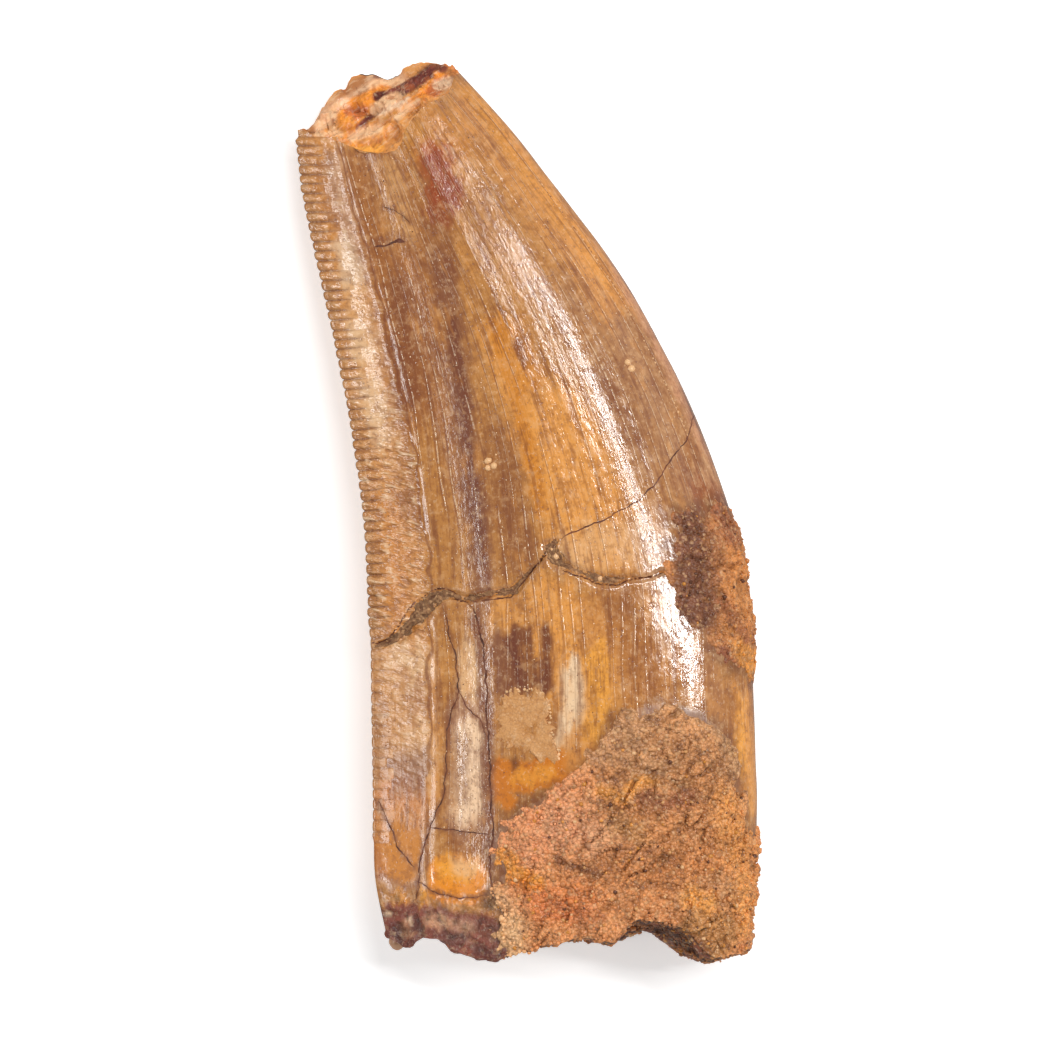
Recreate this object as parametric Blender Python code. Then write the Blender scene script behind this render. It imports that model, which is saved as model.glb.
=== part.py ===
"""A fossil theropod dinosaur tooth, lying on its flatter far side with the other face up.

The crown is a loft of teardrop sections between its two edges: the distal edge, on the left, carries
denticles, and the mesial edge, on the right, is round. The tip is broken off at a slant and the base is
ragged. Two crusts of cemented sand lie in shallow pockets of the crown: one wraps the lower right
corner and the base, and one sits on the mesial edge.

Lengths in the constants are millimetres. +X is right, +Y runs to the tip and +Z is up.
The origin is under the middle of the tooth, on the surface that it lies on.
"""

import math

import bmesh
import bpy
import numpy as np
from mathutils import Matrix, Vector, noise

MM = 0.001

# The move that puts the origin under the middle of the finished tooth.
TO_ORIGIN = (-0.01, 0.19, 0)

# The two edges in plan, from base to tip, as (x, y).
DISTAL_EDGE = (
    (-9.20, -27.30), (-9.90, -23.80), (-9.95, -18.60), (-10.05, -12.80), (-10.15, -7.00),
    (-10.40, -1.20), (-11.15, 4.60), (-12.25, 10.40), (-13.50, 16.10), (-14.42, 20.40), (-14.92, 24.30),
)
MESIAL_EDGE = (
    (14.10, -27.90), (14.40, -23.80), (14.70, -19.60), (14.60, -15.40), (14.45, -11.50), (14.20, -6.35),
    (13.50, -1.84), (12.40, 1.70), (10.84, 5.90), (8.52, 10.75), (5.74, 15.60), (2.19, 20.40),
    (-1.61, 25.25), (-4.20, 28.10),
)

# Heights along the crown, as (share of its length, height). The middle is the level of both edges.
MIDDLE_HEIGHT = ((0.0, 5.5), (0.35, 5.35), (0.7, 4.3), (1.0, 2.75))
NEAR_RISE = ((0.0, 6.0), (0.3, 6.1), (0.7, 4.6), (1.0, 2.9))
FAR_DROP = ((0.0, 5.65), (0.35, 5.5), (0.7, 4.45), (1.0, 2.9))
EDGE_HALF_THICKNESS = 0.34

# How far the broken ends pass the last sections, at shares of the way from the distal to the mesial edge.
TIP_NEAR_END = (
    (0.0, 0.0), (0.1, -0.8), (0.27, -2.0), (0.42, -3.0), (0.53, -3.1), (0.6, -2.2), (0.75, -1.25),
    (0.87, -0.8), (1.0, 0.0),
)
TIP_FAR_END = (
    (0.0, 0.0), (0.11, 0.0), (0.2, 1.3), (0.3, 1.8), (0.4, 2.3), (0.52, 2.1), (0.64, 1.3), (0.72, 1.6),
    (0.8, 1.7), (0.9, 1.2), (1.0, 0.1),
)
BASE_NEAR_END = (
    (0.0, 0.0), (0.04, 0.9), (0.1, 0.2), (0.18, 0.8), (0.28, 1.4), (0.35, 0.8), (0.47, 0.0), (0.58, -0.3),
    (0.65, -0.6), (0.7, -1.5), (0.76, -1.5), (0.81, -1.1), (0.87, 0.2), (0.92, 0.7), (1.0, 0.3),
)
BASE_FAR_END = (
    (0.0, 0.0), (0.1, -0.2), (0.25, 0.6), (0.4, 0.2), (0.55, -0.6), (0.65, -0.3), (0.7, -0.9),
    (0.76, -0.1), (0.86, 1.1), (0.93, 0.6), (1.0, 0.0),
)

# The relief of both broken ends: how wide and high its ledges are, and how deep each end is dished.
LEDGE_SIZE = 1.7
LEDGE_HEIGHT = 0.85
BROKEN_END_DEPTH = 0.35

# The serrated stretch of the distal edge: the spacing is along the edge, the size is a half axis.
DENTICLE_SPACING = ((0.0, 0.70), (0.5, 0.68), (1.0, 0.62))
DENTICLE_FIRST, DENTICLE_LAST = 0.06, 0.985
DENTICLE_HALF_LENGTH = 1.5
DENTICLE_HALF_WIDTH = 0.29
DENTICLE_HALF_HEIGHT = 1.15
DENTICLE_REACH = 0.28
WORN_BELOW = 0.38
WORN_REACH = 0.10
WORN_HALF_HEIGHT = 0.98

# The healed break across the near face: (share of the way across, share of the length, radius).
BREAK_LINE = (
    (-0.03, 0.381, 0.50), (0.03, 0.381, 0.45), (0.085, 0.388, 0.50), (0.135, 0.425, 0.62),
    (0.19, 0.457, 0.58), (0.25, 0.452, 0.38), (0.31, 0.458, 0.34), (0.37, 0.464, 0.40),
    (0.415, 0.492, 0.28), (0.47, 0.533, 0.24),
)

# The two crusts of sand: outlines in plan, and how far each leans over on the far side.
CRUST_DEPTH = 1.0
CRUST_GAP = 0.3
BASE_CRUST_OUTLINE = (
    (-1.9, -32.0), (-1.8, -28.0), (-2.4, -26.4), (-1.9, -25.0), (-2.6, -23.6), (-1.9, -22.2), (-2.2, -20.9),
    (-0.6, -19.9), (0.8, -19.4), (2.0, -18.3), (3.8, -16.8),
    (4.7, -15.1), (6.2, -13.7), (8.6, -12.8), (11.0, -13.1), (12.9, -14.6), (13.6, -17.3), (14.0, -20.0),
    (17.5, -21.5), (17.5, -32.0),
)
BASE_CRUST_LEAN = (-2.5, 2.0)
BASE_CRUST_RISE = 0.22
BASE_CRUST_LUMPS = 0.45
MESIAL_CRUST_OUTLINE = (
    (9.2, -0.2), (10.1, 0.5), (11.2, 0.0), (12.2, 0.8), (13.0, 0.3), (17.5, 1.0), (17.5, -11.2), (13.9, -11.0),
    (12.9, -9.9), (11.9, -9.3), (11.3, -7.8), (10.1, -7.4), (9.2, -6.1), (8.7, -5.2), (9.3, -3.8), (8.8, -2.4),
)
MESIAL_CRUST_LEAN = (5.0, -1.0)
MESIAL_CRUST_RISE = 0.18
MESIAL_CRUST_LUMPS = 0.40

# How fine each faceted form is: rows along the crown, columns over the near and far faces, cap rings.
CROWN_GRID = (36, 20, 12, 5)
CORE_GRID = (24, 16, 12, 2)
CRUST_GRID = (56, 30, 18, 5)


def smooth(points, at):
    """The value at each place on the cubic curve through (place, value) points, straight past its ends."""
    place, value = np.array(points, float).T
    slope = np.gradient(value, place)
    at = np.asarray(at, float)
    i = np.clip(np.searchsorted(place, at) - 1, 0, len(place) - 2)
    width = place[i + 1] - place[i]
    f = (at - place[i]) / width
    inside = (
        (1 + 2 * f) * (1 - f) ** 2 * value[i]
        + f * (1 - f) ** 2 * width * slope[i]
        + f**2 * (3 - 2 * f) * value[i + 1]
        + f**2 * (f - 1) * width * slope[i + 1]
    )
    before = value[0] + (at - place[0]) * slope[0]
    after = value[-1] + (at - place[-1]) * slope[-1]
    return np.where(at < place[0], before, np.where(at > place[-1], after, inside))


def edge_length(edge):
    """The length of an edge drawn straight between its points."""
    return float(np.hypot(*np.diff(np.array(edge), axis=0).T).sum())


def along(edge, share):
    """The (x, y) at each share of an edge's length, on the smooth curve through its points."""
    xy = np.array(edge)
    reached = np.concatenate([[0], np.cumsum(np.hypot(*np.diff(xy, axis=0).T))])
    at = np.asarray(share, float) * reached[-1]
    columns = [smooth(np.column_stack([reached, xy[:, k]]), at) for k in (0, 1)]
    return np.stack(columns, axis=-1)


def bell(at, middle, width):
    return np.exp(-(((at - middle) / width) ** 2))


def near_profile(s, v):
    """The near face's height over the chord, from 0 to 1: a flattened flange, a hollow, then the body."""
    peak = 0.66
    flange = 0.145 + 0.065 * np.clip(v, 0, 1) ** 2
    rise = np.sin(np.pi / 2 * (np.clip(s, 0, peak) / peak) ** 0.92)
    rise = rise + 0.05 * bell(s, flange * 0.78, 0.05) - 0.05 * bell(s, flange * 1.45, 0.06)
    fall = (1 - (np.clip(s - peak, 0, None) / (1 - peak)) ** 2.3) ** (1 / 2.3)
    return np.where(s < peak, rise, fall)


def far_profile(s):
    """The far face's depth under the chord, from 0 to 1: a plain lens."""
    peak = 0.56
    rise = np.sin(np.pi / 2 * (np.clip(s, 0, peak) / peak) ** 0.95)
    fall = (1 - (np.clip(s - peak, 0, None) / (1 - peak)) ** 2.1) ** (1 / 2.1)
    return np.where(s < peak, rise, fall)


def crown_point(s, near, v, inset=0.0, shrink=1.0):
    """A point of the crown: s runs from the distal to the mesial edge, near is True on the near face and
    v runs from the base to the tip. A positive inset moves it in, and shrink draws it to the axis."""
    s, v, inset = np.asarray(s, float), np.asarray(v, float), np.asarray(inset, float)
    distal, mesial = along(DISTAL_EDGE, v), along(MESIAL_EDGE, v)
    chord = mesial - distal
    width = np.hypot(chord[..., 0], chord[..., 1])
    across = (s - 0.5) * (1 - 2 * inset / width) * shrink
    xy = (distal + mesial) / 2 + chord * across[..., None]
    edge = EDGE_HALF_THICKNESS * (1 - np.clip(s, 0, 1) ** 6)
    up = edge + (smooth(NEAR_RISE, v) - edge) * near_profile(s, v)
    down = edge + (smooth(FAR_DROP, v) - edge) * far_profile(s)
    height = np.where(near, up, -down)
    height = height * (1 - inset / np.maximum(smooth(NEAR_RISE, v), 1)) * shrink
    z = smooth(MIDDLE_HEIGHT, v) + height
    return np.concatenate([xy, z[..., None]], axis=-1)


def ring(near_columns, far_columns):
    """The places round a section, as (s, near): over the near face and back under the far one."""
    over = (1 - np.cos(np.linspace(0, np.pi, near_columns + 1))) / 2
    under = (1 + np.cos(np.linspace(0, np.pi, far_columns + 1))) / 2
    s = np.concatenate([over, under[1:]])
    near = np.arange(len(s)) <= near_columns
    return s, near


def end_places(s, near, inset):
    """Where the base and the tip lie at each place round a section, as shares of the crown's length."""
    length = (edge_length(DISTAL_EDGE) + edge_length(MESIAL_EDGE)) / 2
    base = np.where(near, smooth(BASE_NEAR_END, s), smooth(BASE_FAR_END, s))
    tip = np.where(near, smooth(TIP_NEAR_END, s), smooth(TIP_FAR_END, s))
    return (inset - base) / length, 1 + (tip - inset) / length


def ledges(points, size, seed):
    """A broken surface's relief at each point, from -1 to 1: noise in two sizes, the larger in steps."""
    found = []
    for x, y, z in points:
        at = Vector((x, y * 0.3, z)) / size + Vector((seed, 0, 0))
        coarse = noise.noise(at)
        found.append(0.6 * round(3 * coarse) / 3 + 0.3 * coarse + 0.35 * noise.noise(at * 2.7))
    return np.array(found)


def tooth_mesh(name, grid, inset=0.0, lumps=0.0, seed=0.0):
    """A closed mesh of the whole tooth, with its broken ends. lumps is the height of the knobs on it."""
    rows, near_columns, far_columns, cap_rings = grid
    s, near = ring(near_columns, far_columns)
    base, tip = end_places(s, near, inset)
    levels = []
    for share in np.linspace(0, 1, rows + 1):
        levels.append(crown_point(s, near, base + (tip - base) * share, inset))
    for end, sign, first in ((tip, 1, False), (base, -1, True)):
        middle = float(np.mean(end))
        cap = []
        for k in range(1, cap_rings + 1):
            shrink = 1 - k / (cap_rings + 0.35)
            flat = crown_point(s, near, middle + (end - middle) * shrink, inset, shrink)
            relief = ledges(flat, LEDGE_SIZE, 5.0 * sign + seed) * LEDGE_HEIGHT * math.sqrt(1 - shrink)
            flat[:, 1] += relief - sign * BROKEN_END_DEPTH * (1 - shrink)
            cap.append(flat)
        levels = cap[::-1] + levels if first else levels + cap
    points = np.array(levels)
    if lumps:
        points = raised(points, lumps, seed)
    return loft(name, points)


def raised(points, lumps, seed):
    """The same rows of points, pushed out from the axis by knobs of sand."""
    flat = points.reshape(-1, 3)
    height = []
    for p in flat:
        at = Vector(p) / 1.5 + Vector((seed, seed, 0))
        height.append(abs(noise.noise(at)) * 1.5 - 0.35 + 0.35 * noise.noise(at * 2.3))
    middle = points.mean(axis=1, keepdims=True)
    away = points - middle
    away = away / np.maximum(np.linalg.norm(away, axis=2, keepdims=True), 0.5)
    return points + away * (lumps * np.array(height)).reshape(points.shape[:2])[..., None]


def loft(name, levels):
    """A mesh object through closed rings of points, with a fan on each end."""
    bm = bmesh.new()
    rings = [[bm.verts.new(Vector(p) * MM) for p in level] for level in levels]
    for lower, upper in zip(rings, rings[1:]):
        for i, corner in enumerate(lower):
            j = (i + 1) % len(lower)
            bm.faces.new((corner, lower[j], upper[j], upper[i]))
    for level in (rings[0], rings[-1]):
        centre = bm.verts.new(sum((v.co for v in level), Vector()) / len(level))
        for i, corner in enumerate(level):
            bm.faces.new((corner, level[(i + 1) % len(level)], centre))
    bmesh.ops.recalc_face_normals(bm, faces=bm.faces)
    bmesh.ops.triangulate(bm, faces=bm.faces)
    return made_object(name, bm)


def made_object(name, bm):
    mesh = bpy.data.meshes.new(name)
    bm.to_mesh(mesh)
    bm.free()
    return bpy.data.objects.new(name, mesh)


def grown(outline, distance):
    """A closed outline, drawn clockwise, with each corner moved out."""
    xy = np.array(outline)
    run = np.roll(xy, -1, axis=0) - np.roll(xy, 1, axis=0)
    out = np.column_stack([-run[:, 1], run[:, 0]]) / np.hypot(*run.T)[:, None]
    return xy + out * distance


def prism(name, outline, lean):
    """A solid over an outline in plan, through the tooth, leaning by `lean` from its middle to its foot."""
    half_height, middle, lean_over = 8.5, 6.0, 6.0
    curve = bpy.data.curves.new(name, "CURVE")
    curve.dimensions = "2D"
    curve.fill_mode = "BOTH"
    curve.extrude = half_height * MM
    line = curve.splines.new("POLY")
    line.points.add(len(outline) - 1)
    for point, (x, y) in zip(line.points, outline):
        point.co = (x * MM, y * MM, 0, 1)
    line.use_cyclic_u = True
    drawn = bpy.data.objects.new(name, curve)
    bpy.context.scene.collection.objects.link(drawn)
    graph = bpy.context.evaluated_depsgraph_get()
    mesh = bpy.data.meshes.new_from_object(drawn.evaluated_get(graph))
    bpy.data.objects.remove(drawn)
    bm = bmesh.new()
    bm.from_mesh(mesh)
    bmesh.ops.remove_doubles(bm, verts=bm.verts, dist=1e-6)
    for vert in bm.verts:
        foot = max(0.0, -vert.co.z / (lean_over * MM))
        vert.co += Vector((lean[0], lean[1], 0)) * MM * foot
        vert.co.z += middle * MM
    bmesh.ops.recalc_face_normals(bm, faces=bm.faces)
    return made_object(name, bm)


def denticles(name):
    """One knob for each denticle, set into the distal edge, as one mesh of separate closed knobs."""
    bm = bmesh.new()
    length = edge_length(DISTAL_EDGE)
    v = DENTICLE_FIRST
    while v < DENTICLE_LAST:
        at = crown_point(0.0, True, v)
        inner = crown_point(0.12, True, v)
        inward = Vector((inner[0] - at[0], inner[1] - at[1], 0)).normalized()
        worn = v < WORN_BELOW
        wobble = noise.noise(Vector((v * 40, 3, 0)))
        reach = (WORN_REACH if worn else DENTICLE_REACH) * (1 + 0.35 * wobble)
        centre = Vector((at[0], at[1], smooth(MIDDLE_HEIGHT, v))) + inward * (DENTICLE_HALF_LENGTH - reach)
        turn = Matrix.Rotation(math.atan2(inward.y, inward.x), 4, "Z")
        height = WORN_HALF_HEIGHT if worn else DENTICLE_HALF_HEIGHT
        size = Matrix.Diagonal((DENTICLE_HALF_LENGTH, DENTICLE_HALF_WIDTH, height, 1 / MM)) * MM
        place = Matrix.Translation(centre * MM) @ turn @ size
        bmesh.ops.create_uvsphere(bm, u_segments=6, v_segments=4, radius=1, matrix=place)
        v += float(smooth(DENTICLE_SPACING, v)) / length
    return made_object(name, bm)


def break_groove(name):
    """The groove of the healed break: a tube along the near face that notches the distal edge."""
    curve = bpy.data.curves.new(name, "CURVE")
    curve.dimensions = "3D"
    curve.bevel_depth = MM
    curve.bevel_resolution = 1
    curve.use_fill_caps = True
    line = curve.splines.new("POLY")
    line.points.add(len(BREAK_LINE) - 1)
    for point, (s, v, radius) in zip(line.points, BREAK_LINE):
        x, y, z = crown_point(s, True, v)
        point.co = (x * MM, y * MM, z * MM, 1)
        point.radius = radius
    drawn = bpy.data.objects.new(name, curve)
    bpy.context.scene.collection.objects.link(drawn)
    graph = bpy.context.evaluated_depsgraph_get()
    mesh = bpy.data.meshes.new_from_object(drawn.evaluated_get(graph))
    bpy.data.objects.remove(drawn)
    bm = bmesh.new()
    bm.from_mesh(mesh)
    bmesh.ops.remove_doubles(bm, verts=bm.verts, dist=1e-6)
    bmesh.ops.recalc_face_normals(bm, faces=bm.faces)
    return made_object(name, bm)


def floor_block(name):
    """What lies under the surface that the tooth rests on. It leaves the small flats of its far side."""
    bm = bmesh.new()
    depth = 10
    place = Matrix.Translation((0, 0, -depth / 2 * MM)) @ Matrix.Diagonal((50 * MM, 80 * MM, depth * MM, 1))
    bmesh.ops.create_cube(bm, size=1, matrix=place)
    return made_object(name, bm)


def cutter(obj, collection):
    """Keeps an object as a tool of the modifiers, out of the model."""
    collection.objects.link(obj)
    obj.hide_render = True
    obj.display_type = "WIRE"
    return obj


def boolean(obj, other, operation):
    modifier = obj.modifiers.new(f"{operation.lower()} {other.name}", "BOOLEAN")
    modifier.object = other
    modifier.operation = operation
    return obj


def material(name, color, roughness):
    """A plain opaque finish. The colour is linear."""
    made = bpy.data.materials.new(name)
    made.use_nodes = True
    shader = made.node_tree.nodes["Principled BSDF"]
    shader.inputs["Base Color"].default_value = (*color, 1)
    shader.inputs["Roughness"].default_value = roughness
    shader.inputs["Metallic"].default_value = 0
    return made


def crust(name, outline, lean, rise, lumps, seed, cutters):
    """One crust of sand, and the pocket for it: returns (crust, pocket)."""
    made = tooth_mesh(name, CRUST_GRID, -rise, lumps, seed)
    boolean(made, cutter(prism(f"{name}_outline", outline, lean), cutters), "INTERSECT")
    core = tooth_mesh(f"{name}_core", CORE_GRID, CRUST_DEPTH - CRUST_GAP)
    boolean(made, cutter(core, cutters), "DIFFERENCE")
    pocket = prism(f"{name}_pocket", grown(outline, CRUST_GAP), lean)
    floor = tooth_mesh(f"{name}_pocket_floor", CORE_GRID, CRUST_DEPTH)
    boolean(pocket, cutter(floor, cutters), "DIFFERENCE")
    return made, cutter(pocket, cutters)


def build():
    for obj in list(bpy.data.objects):
        bpy.data.objects.remove(obj)
    model = bpy.data.collections.new("dinosaur_tooth")
    cutters = bpy.data.collections.new("cutters")
    for collection in (model, cutters):
        bpy.context.scene.collection.children.link(collection)

    crown = tooth_mesh("tooth_crown", CROWN_GRID)
    boolean(crown, cutter(denticles("denticles"), cutters), "UNION")
    base_crust, base_pocket = crust(
        "base_matrix", BASE_CRUST_OUTLINE, BASE_CRUST_LEAN, BASE_CRUST_RISE, BASE_CRUST_LUMPS, 3.0, cutters
    )
    mesial_crust, mesial_pocket = crust(
        "mesial_matrix", MESIAL_CRUST_OUTLINE, MESIAL_CRUST_LEAN, MESIAL_CRUST_RISE, MESIAL_CRUST_LUMPS, 9.0,
        cutters,
    )
    boolean(crown, base_pocket, "DIFFERENCE")
    boolean(crown, mesial_pocket, "DIFFERENCE")
    boolean(crown, cutter(break_groove("break_groove"), cutters), "DIFFERENCE")

    floor = cutter(floor_block("floor_block"), cutters)
    finishes = {
        crown: material("fossil_enamel", (0.42, 0.24, 0.11), 0.35),
        base_crust: material("sandstone_matrix", (0.40, 0.23, 0.13), 0.9),
        mesial_crust: material("iron_stained_matrix", (0.16, 0.09, 0.045), 0.9),
    }
    for obj, finish in finishes.items():
        boolean(obj, floor, "DIFFERENCE")
        obj.data.materials.append(finish)
        model.objects.link(obj)
    for obj in (*model.objects, *cutters.objects):
        obj.location = Vector(TO_ORIGIN) * MM


build()
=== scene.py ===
"""The looks of a broken theropod tooth crown that lies on its far side, with the camera straight above it.

The crown is made again from the same curves as the solids, much finer, and dressed with its serrations,
cracks, crusts of sand and loose grains. Lengths are millimetres until a mesh is made. The plan of the near
face is drawn in the photograph's pixels where a stain, a crack or a grain is placed, and plan() turns them
into millimetres.
"""

import math

import bmesh
import bpy
import numpy as np
from mathutils import Matrix, Vector
from mathutils.bvhtree import BVHTree


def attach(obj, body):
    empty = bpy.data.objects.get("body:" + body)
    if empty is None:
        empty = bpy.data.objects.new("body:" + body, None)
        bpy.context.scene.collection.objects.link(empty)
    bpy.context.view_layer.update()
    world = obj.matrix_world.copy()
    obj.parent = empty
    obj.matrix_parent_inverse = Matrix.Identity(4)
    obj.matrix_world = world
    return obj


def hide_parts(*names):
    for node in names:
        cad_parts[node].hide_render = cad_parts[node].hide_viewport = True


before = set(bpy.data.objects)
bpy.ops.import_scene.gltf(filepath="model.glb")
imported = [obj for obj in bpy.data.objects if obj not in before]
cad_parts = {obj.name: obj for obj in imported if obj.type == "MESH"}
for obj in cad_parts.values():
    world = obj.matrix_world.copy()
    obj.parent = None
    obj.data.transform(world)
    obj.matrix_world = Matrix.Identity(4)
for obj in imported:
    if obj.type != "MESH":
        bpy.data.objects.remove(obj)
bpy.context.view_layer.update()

MM = 0.001
TO_ORIGIN = np.array((-0.01, 0.19, 0.0))

# The photograph: its scale, and the pixel at the middle of the tooth's outline.
PIXELS_PER_MM = 15.5
MIDDLE_PIXEL = (529.0, 511.5)
PHOTO_SIZE = (1058, 1050)

# How far the lights and the camera are from the tooth, in metres.
LIGHT_DISTANCE, CAMERA_DISTANCE = 0.6, 0.80

# The crown's curves, as in the solids.
DISTAL_EDGE = (
    (-9.20, -27.30), (-9.90, -23.80), (-9.95, -18.60), (-10.05, -12.80), (-10.15, -7.00),
    (-10.40, -1.20), (-11.15, 4.60), (-12.25, 10.40), (-13.50, 16.10), (-14.42, 20.40), (-14.92, 24.30),
)
MESIAL_EDGE = (
    (14.10, -27.90), (14.40, -23.80), (14.70, -19.60), (14.60, -15.40), (14.45, -11.50), (14.20, -6.35),
    (13.50, -1.84), (12.40, 1.70), (10.84, 5.90), (8.52, 10.75), (5.74, 15.60), (2.19, 20.40),
    (-1.61, 25.25), (-4.20, 28.10),
)
MIDDLE_HEIGHT = ((0.0, 5.5), (0.35, 5.35), (0.7, 4.3), (1.0, 2.75))
NEAR_RISE = ((0.0, 6.0), (0.3, 6.1), (0.7, 4.6), (1.0, 2.9))
FAR_DROP = ((0.0, 5.65), (0.35, 5.5), (0.7, 4.45), (1.0, 2.9))
EDGE_HALF_THICKNESS = 0.34

# The scale of the growth coordinates in millimetres, and how far apart they put the two faces.
CROWN_WIDTH, CROWN_LENGTH = 25.0, 57.0
FACES_APART = 40.0
BREAK_DEPTH = 0.40

# The broken ends past the last sections, finer than in the solids: (share of the way across, millimetres).
TIP_NEAR_END = (
    (0.0, 0.45), (0.05, 0.1), (0.1, -0.55), (0.18, -1.0), (0.27, -2.0), (0.36, -2.9), (0.44, -3.2),
    (0.5, -3.0), (0.55, -2.2), (0.6, -1.7), (0.68, -1.2), (0.75, -0.95), (0.87, -0.6), (0.94, 0.05), (1.0, 0.3),
)
TIP_FAR_END = (
    (0.0, 0.45), (0.08, 0.35), (0.13, 0.95), (0.21, 1.75), (0.28, 2.25), (0.35, 2.15), (0.40, 2.65), (0.47, 2.65),
    (0.55, 2.3), (0.62, 1.75), (0.68, 1.7), (0.74, 2.05), (0.80, 2.05), (0.89, 1.75), (0.95, 1.35), (1.0, 0.35),
)
BASE_NEAR_END = (
    (0.0, 0.0), (0.03, 0.8), (0.06, 0.8), (0.10, 0.1), (0.15, 0.2), (0.19, 0.9), (0.25, 1.35), (0.30, 1.35),
    (0.36, 0.8), (0.43, 0.4), (0.50, -0.15), (0.58, -0.25), (0.64, -0.3), (0.68, -1.35), (0.75, -1.4),
    (0.80, -1.15), (0.84, -0.6), (0.88, 0.5), (0.93, 0.6), (0.98, 0.4), (1.0, 0.3),
)
BASE_FAR_END = (
    (0.0, 0.0), (0.04, 0.4), (0.10, -0.2), (0.17, 0.1), (0.25, 0.6), (0.33, 0.2), (0.43, 0.2), (0.52, -0.5),
    (0.60, -0.3), (0.65, 0.1), (0.69, -0.85), (0.74, -0.3), (0.80, 0.7), (0.86, 1.1), (0.92, 0.8), (1.0, 0.0),
)

# The serrations, as in the solids, with the shape of one ridge.
DENTICLE_SPACING = ((0.0, 0.70), (0.5, 0.68), (1.0, 0.62))
DENTICLE_FIRST, DENTICLE_LAST = 0.115, 0.998
DENTICLE_REACH = 0.25
DENTICLE_RISE = 0.20
WORN_BELOW = 0.38
DENTICLE_LEAN = ((0.0, 0.0), (0.4, 0.03), (0.6, 0.10), (0.8, 0.03), (1.0, -0.05))

# The crusts of sand, as in the solids: outlines in plan and how far each leans over on the far side.
BASE_CRUST = (
    (
        (-1.9, -32.0), (-1.3, -28.4), (-2.6, -27.2), (-1.7, -25.8), (-2.7, -24.4), (-1.6, -23.2),
        (-2.5, -21.8), (-1.9, -20.2), (-0.6, -19.1), (0.8, -18.4), (2.0, -17.5), (3.6, -16.3),
        (4.6, -14.6), (6.0, -12.9), (8.2, -12.3), (11.0, -12.9), (12.9, -14.5), (13.6, -17.3),
        (14.0, -20.0), (17.5, -21.5), (17.5, -32.0),
    ),
    (-2.5, 2.0),
)
MESIAL_CRUST = (
    (
        (9.2, -0.2), (10.1, 0.5), (11.2, 0.0), (12.2, 0.8), (13.0, 0.3), (17.5, 1.0), (17.5, -11.2),
        (13.9, -11.0), (12.9, -9.9), (11.9, -9.3), (11.3, -7.8), (10.1, -7.4), (9.6, -6.4), (8.9, -5.4),
        (8.5, -3.9), (9.1, -3.0), (8.9, -2.0), (9.5, -1.2),
    ),
    (5.0, -1.0),
)

# The healed break and its branch, in photograph pixels with their half widths in millimetres.
BREAK = (
    (360, 648, 0.16), (375, 646, 0.16), (388, 642, 0.26), (400, 635, 0.42), (414, 620, 0.46), (426, 606, 0.52),
    (438, 595, 0.46), (450, 594, 0.30), (462, 598, 0.26), (474, 597, 0.22), (490, 593, 0.24), (504, 592, 0.27),
    (514, 590, 0.30), (522, 580, 0.22), (532, 568, 0.12), (544, 555, 0.12), (550, 546, 0.30), (556, 540, 0.20),
)
BRANCH = (
    (548, 544, 0.30), (553, 554, 0.46), (560, 563, 0.42), (572, 568, 0.22), (584, 573, 0.24), (598, 578, 0.36),
    (610, 580, 0.30), (624, 578, 0.14), (644, 577, 0.10), (664, 571, 0.08),
)

# The thin cracks: half width in millimetres and a path in photograph pixels.
CRACKS = (
    (0.040, ((556, 543), (572, 533), (600, 522), (622, 510), (640, 498), (655, 483), (672, 458),
             (686, 440), (697, 408))),
    (0.050, ((466, 600), (476, 612), (482, 640), (486, 668), (487, 700), (490, 760), (493, 830),
             (490, 870), (495, 903))),
    (0.034, ((444, 606), (449, 632), (456, 652), (459, 690), (449, 722), (446, 760), (445, 790),
             (430, 828), (420, 862), (417, 902))),
    (0.030, ((459, 690), (468, 707), (480, 718), (486, 738))),
    (0.034, ((378, 801), (388, 822), (400, 850), (415, 866))),
    (0.030, ((430, 826), (452, 829), (470, 830), (490, 833))),
    (0.085, ((375, 247), (384, 245), (394, 242), (405, 241))),
    (0.018, ((382, 207), (394, 210), (404, 217), (410, 224))),
    (0.050, ((362, 646), (380, 643), (394, 632), (408, 612), (420, 598), (434, 588), (446, 587), (458, 594))),
    (0.045, ((450, 598), (470, 602), (490, 598), (512, 596), (522, 584), (536, 566), (550, 551))),
    (0.040, ((562, 570), (584, 578), (600, 584), (616, 584), (640, 578), (664, 572))),
    (0.030, ((416, 880), (438, 892), (460, 897), (488, 893))),
)

# Colours in sRGB, and how much of what is seen there the gloss adds and the light multiplies.
SEEN_GLOSS, SEEN_LIGHT = 0.045, 0.86
PALETTE = {
    "khaki": (185, 133, 85), "pale tan": (221, 178, 134), "tan": (206, 156, 108), "cream": (238, 208, 172),
    "mauve": (190, 148, 118), "brown": (164, 113, 70), "dark brown": (128, 85, 57), "plum": (112, 66, 52),
    "plum grey": (136, 96, 70), "amber": (222, 156, 92), "deep amber": (203, 134, 52),
    "orange": (236, 166, 82), "orange brown": (186, 112, 60), "gold": (216, 146, 66),
    "fire": (230, 148, 58), "rust": (166, 84, 34), "gold brown": (200, 126, 50), "cinnamon": (186, 130, 92),
    "plum brown": (138, 84, 62), "caramel": (205, 144, 90), "red brown": (146, 80, 46),
    "grey brown": (172, 128, 95), "pink tan": (203, 150, 116), "maroon": (108, 52, 40),
    "olive": (146, 110, 66), "pink sand": (204, 142, 104), "grey sand": (172, 132, 100),
    "white": (244, 208, 172), "blush": (240, 194, 150), "dark sand": (110, 74, 48),
    "cement": (150, 118, 92), "golden": (196, 136, 66),
}
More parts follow.
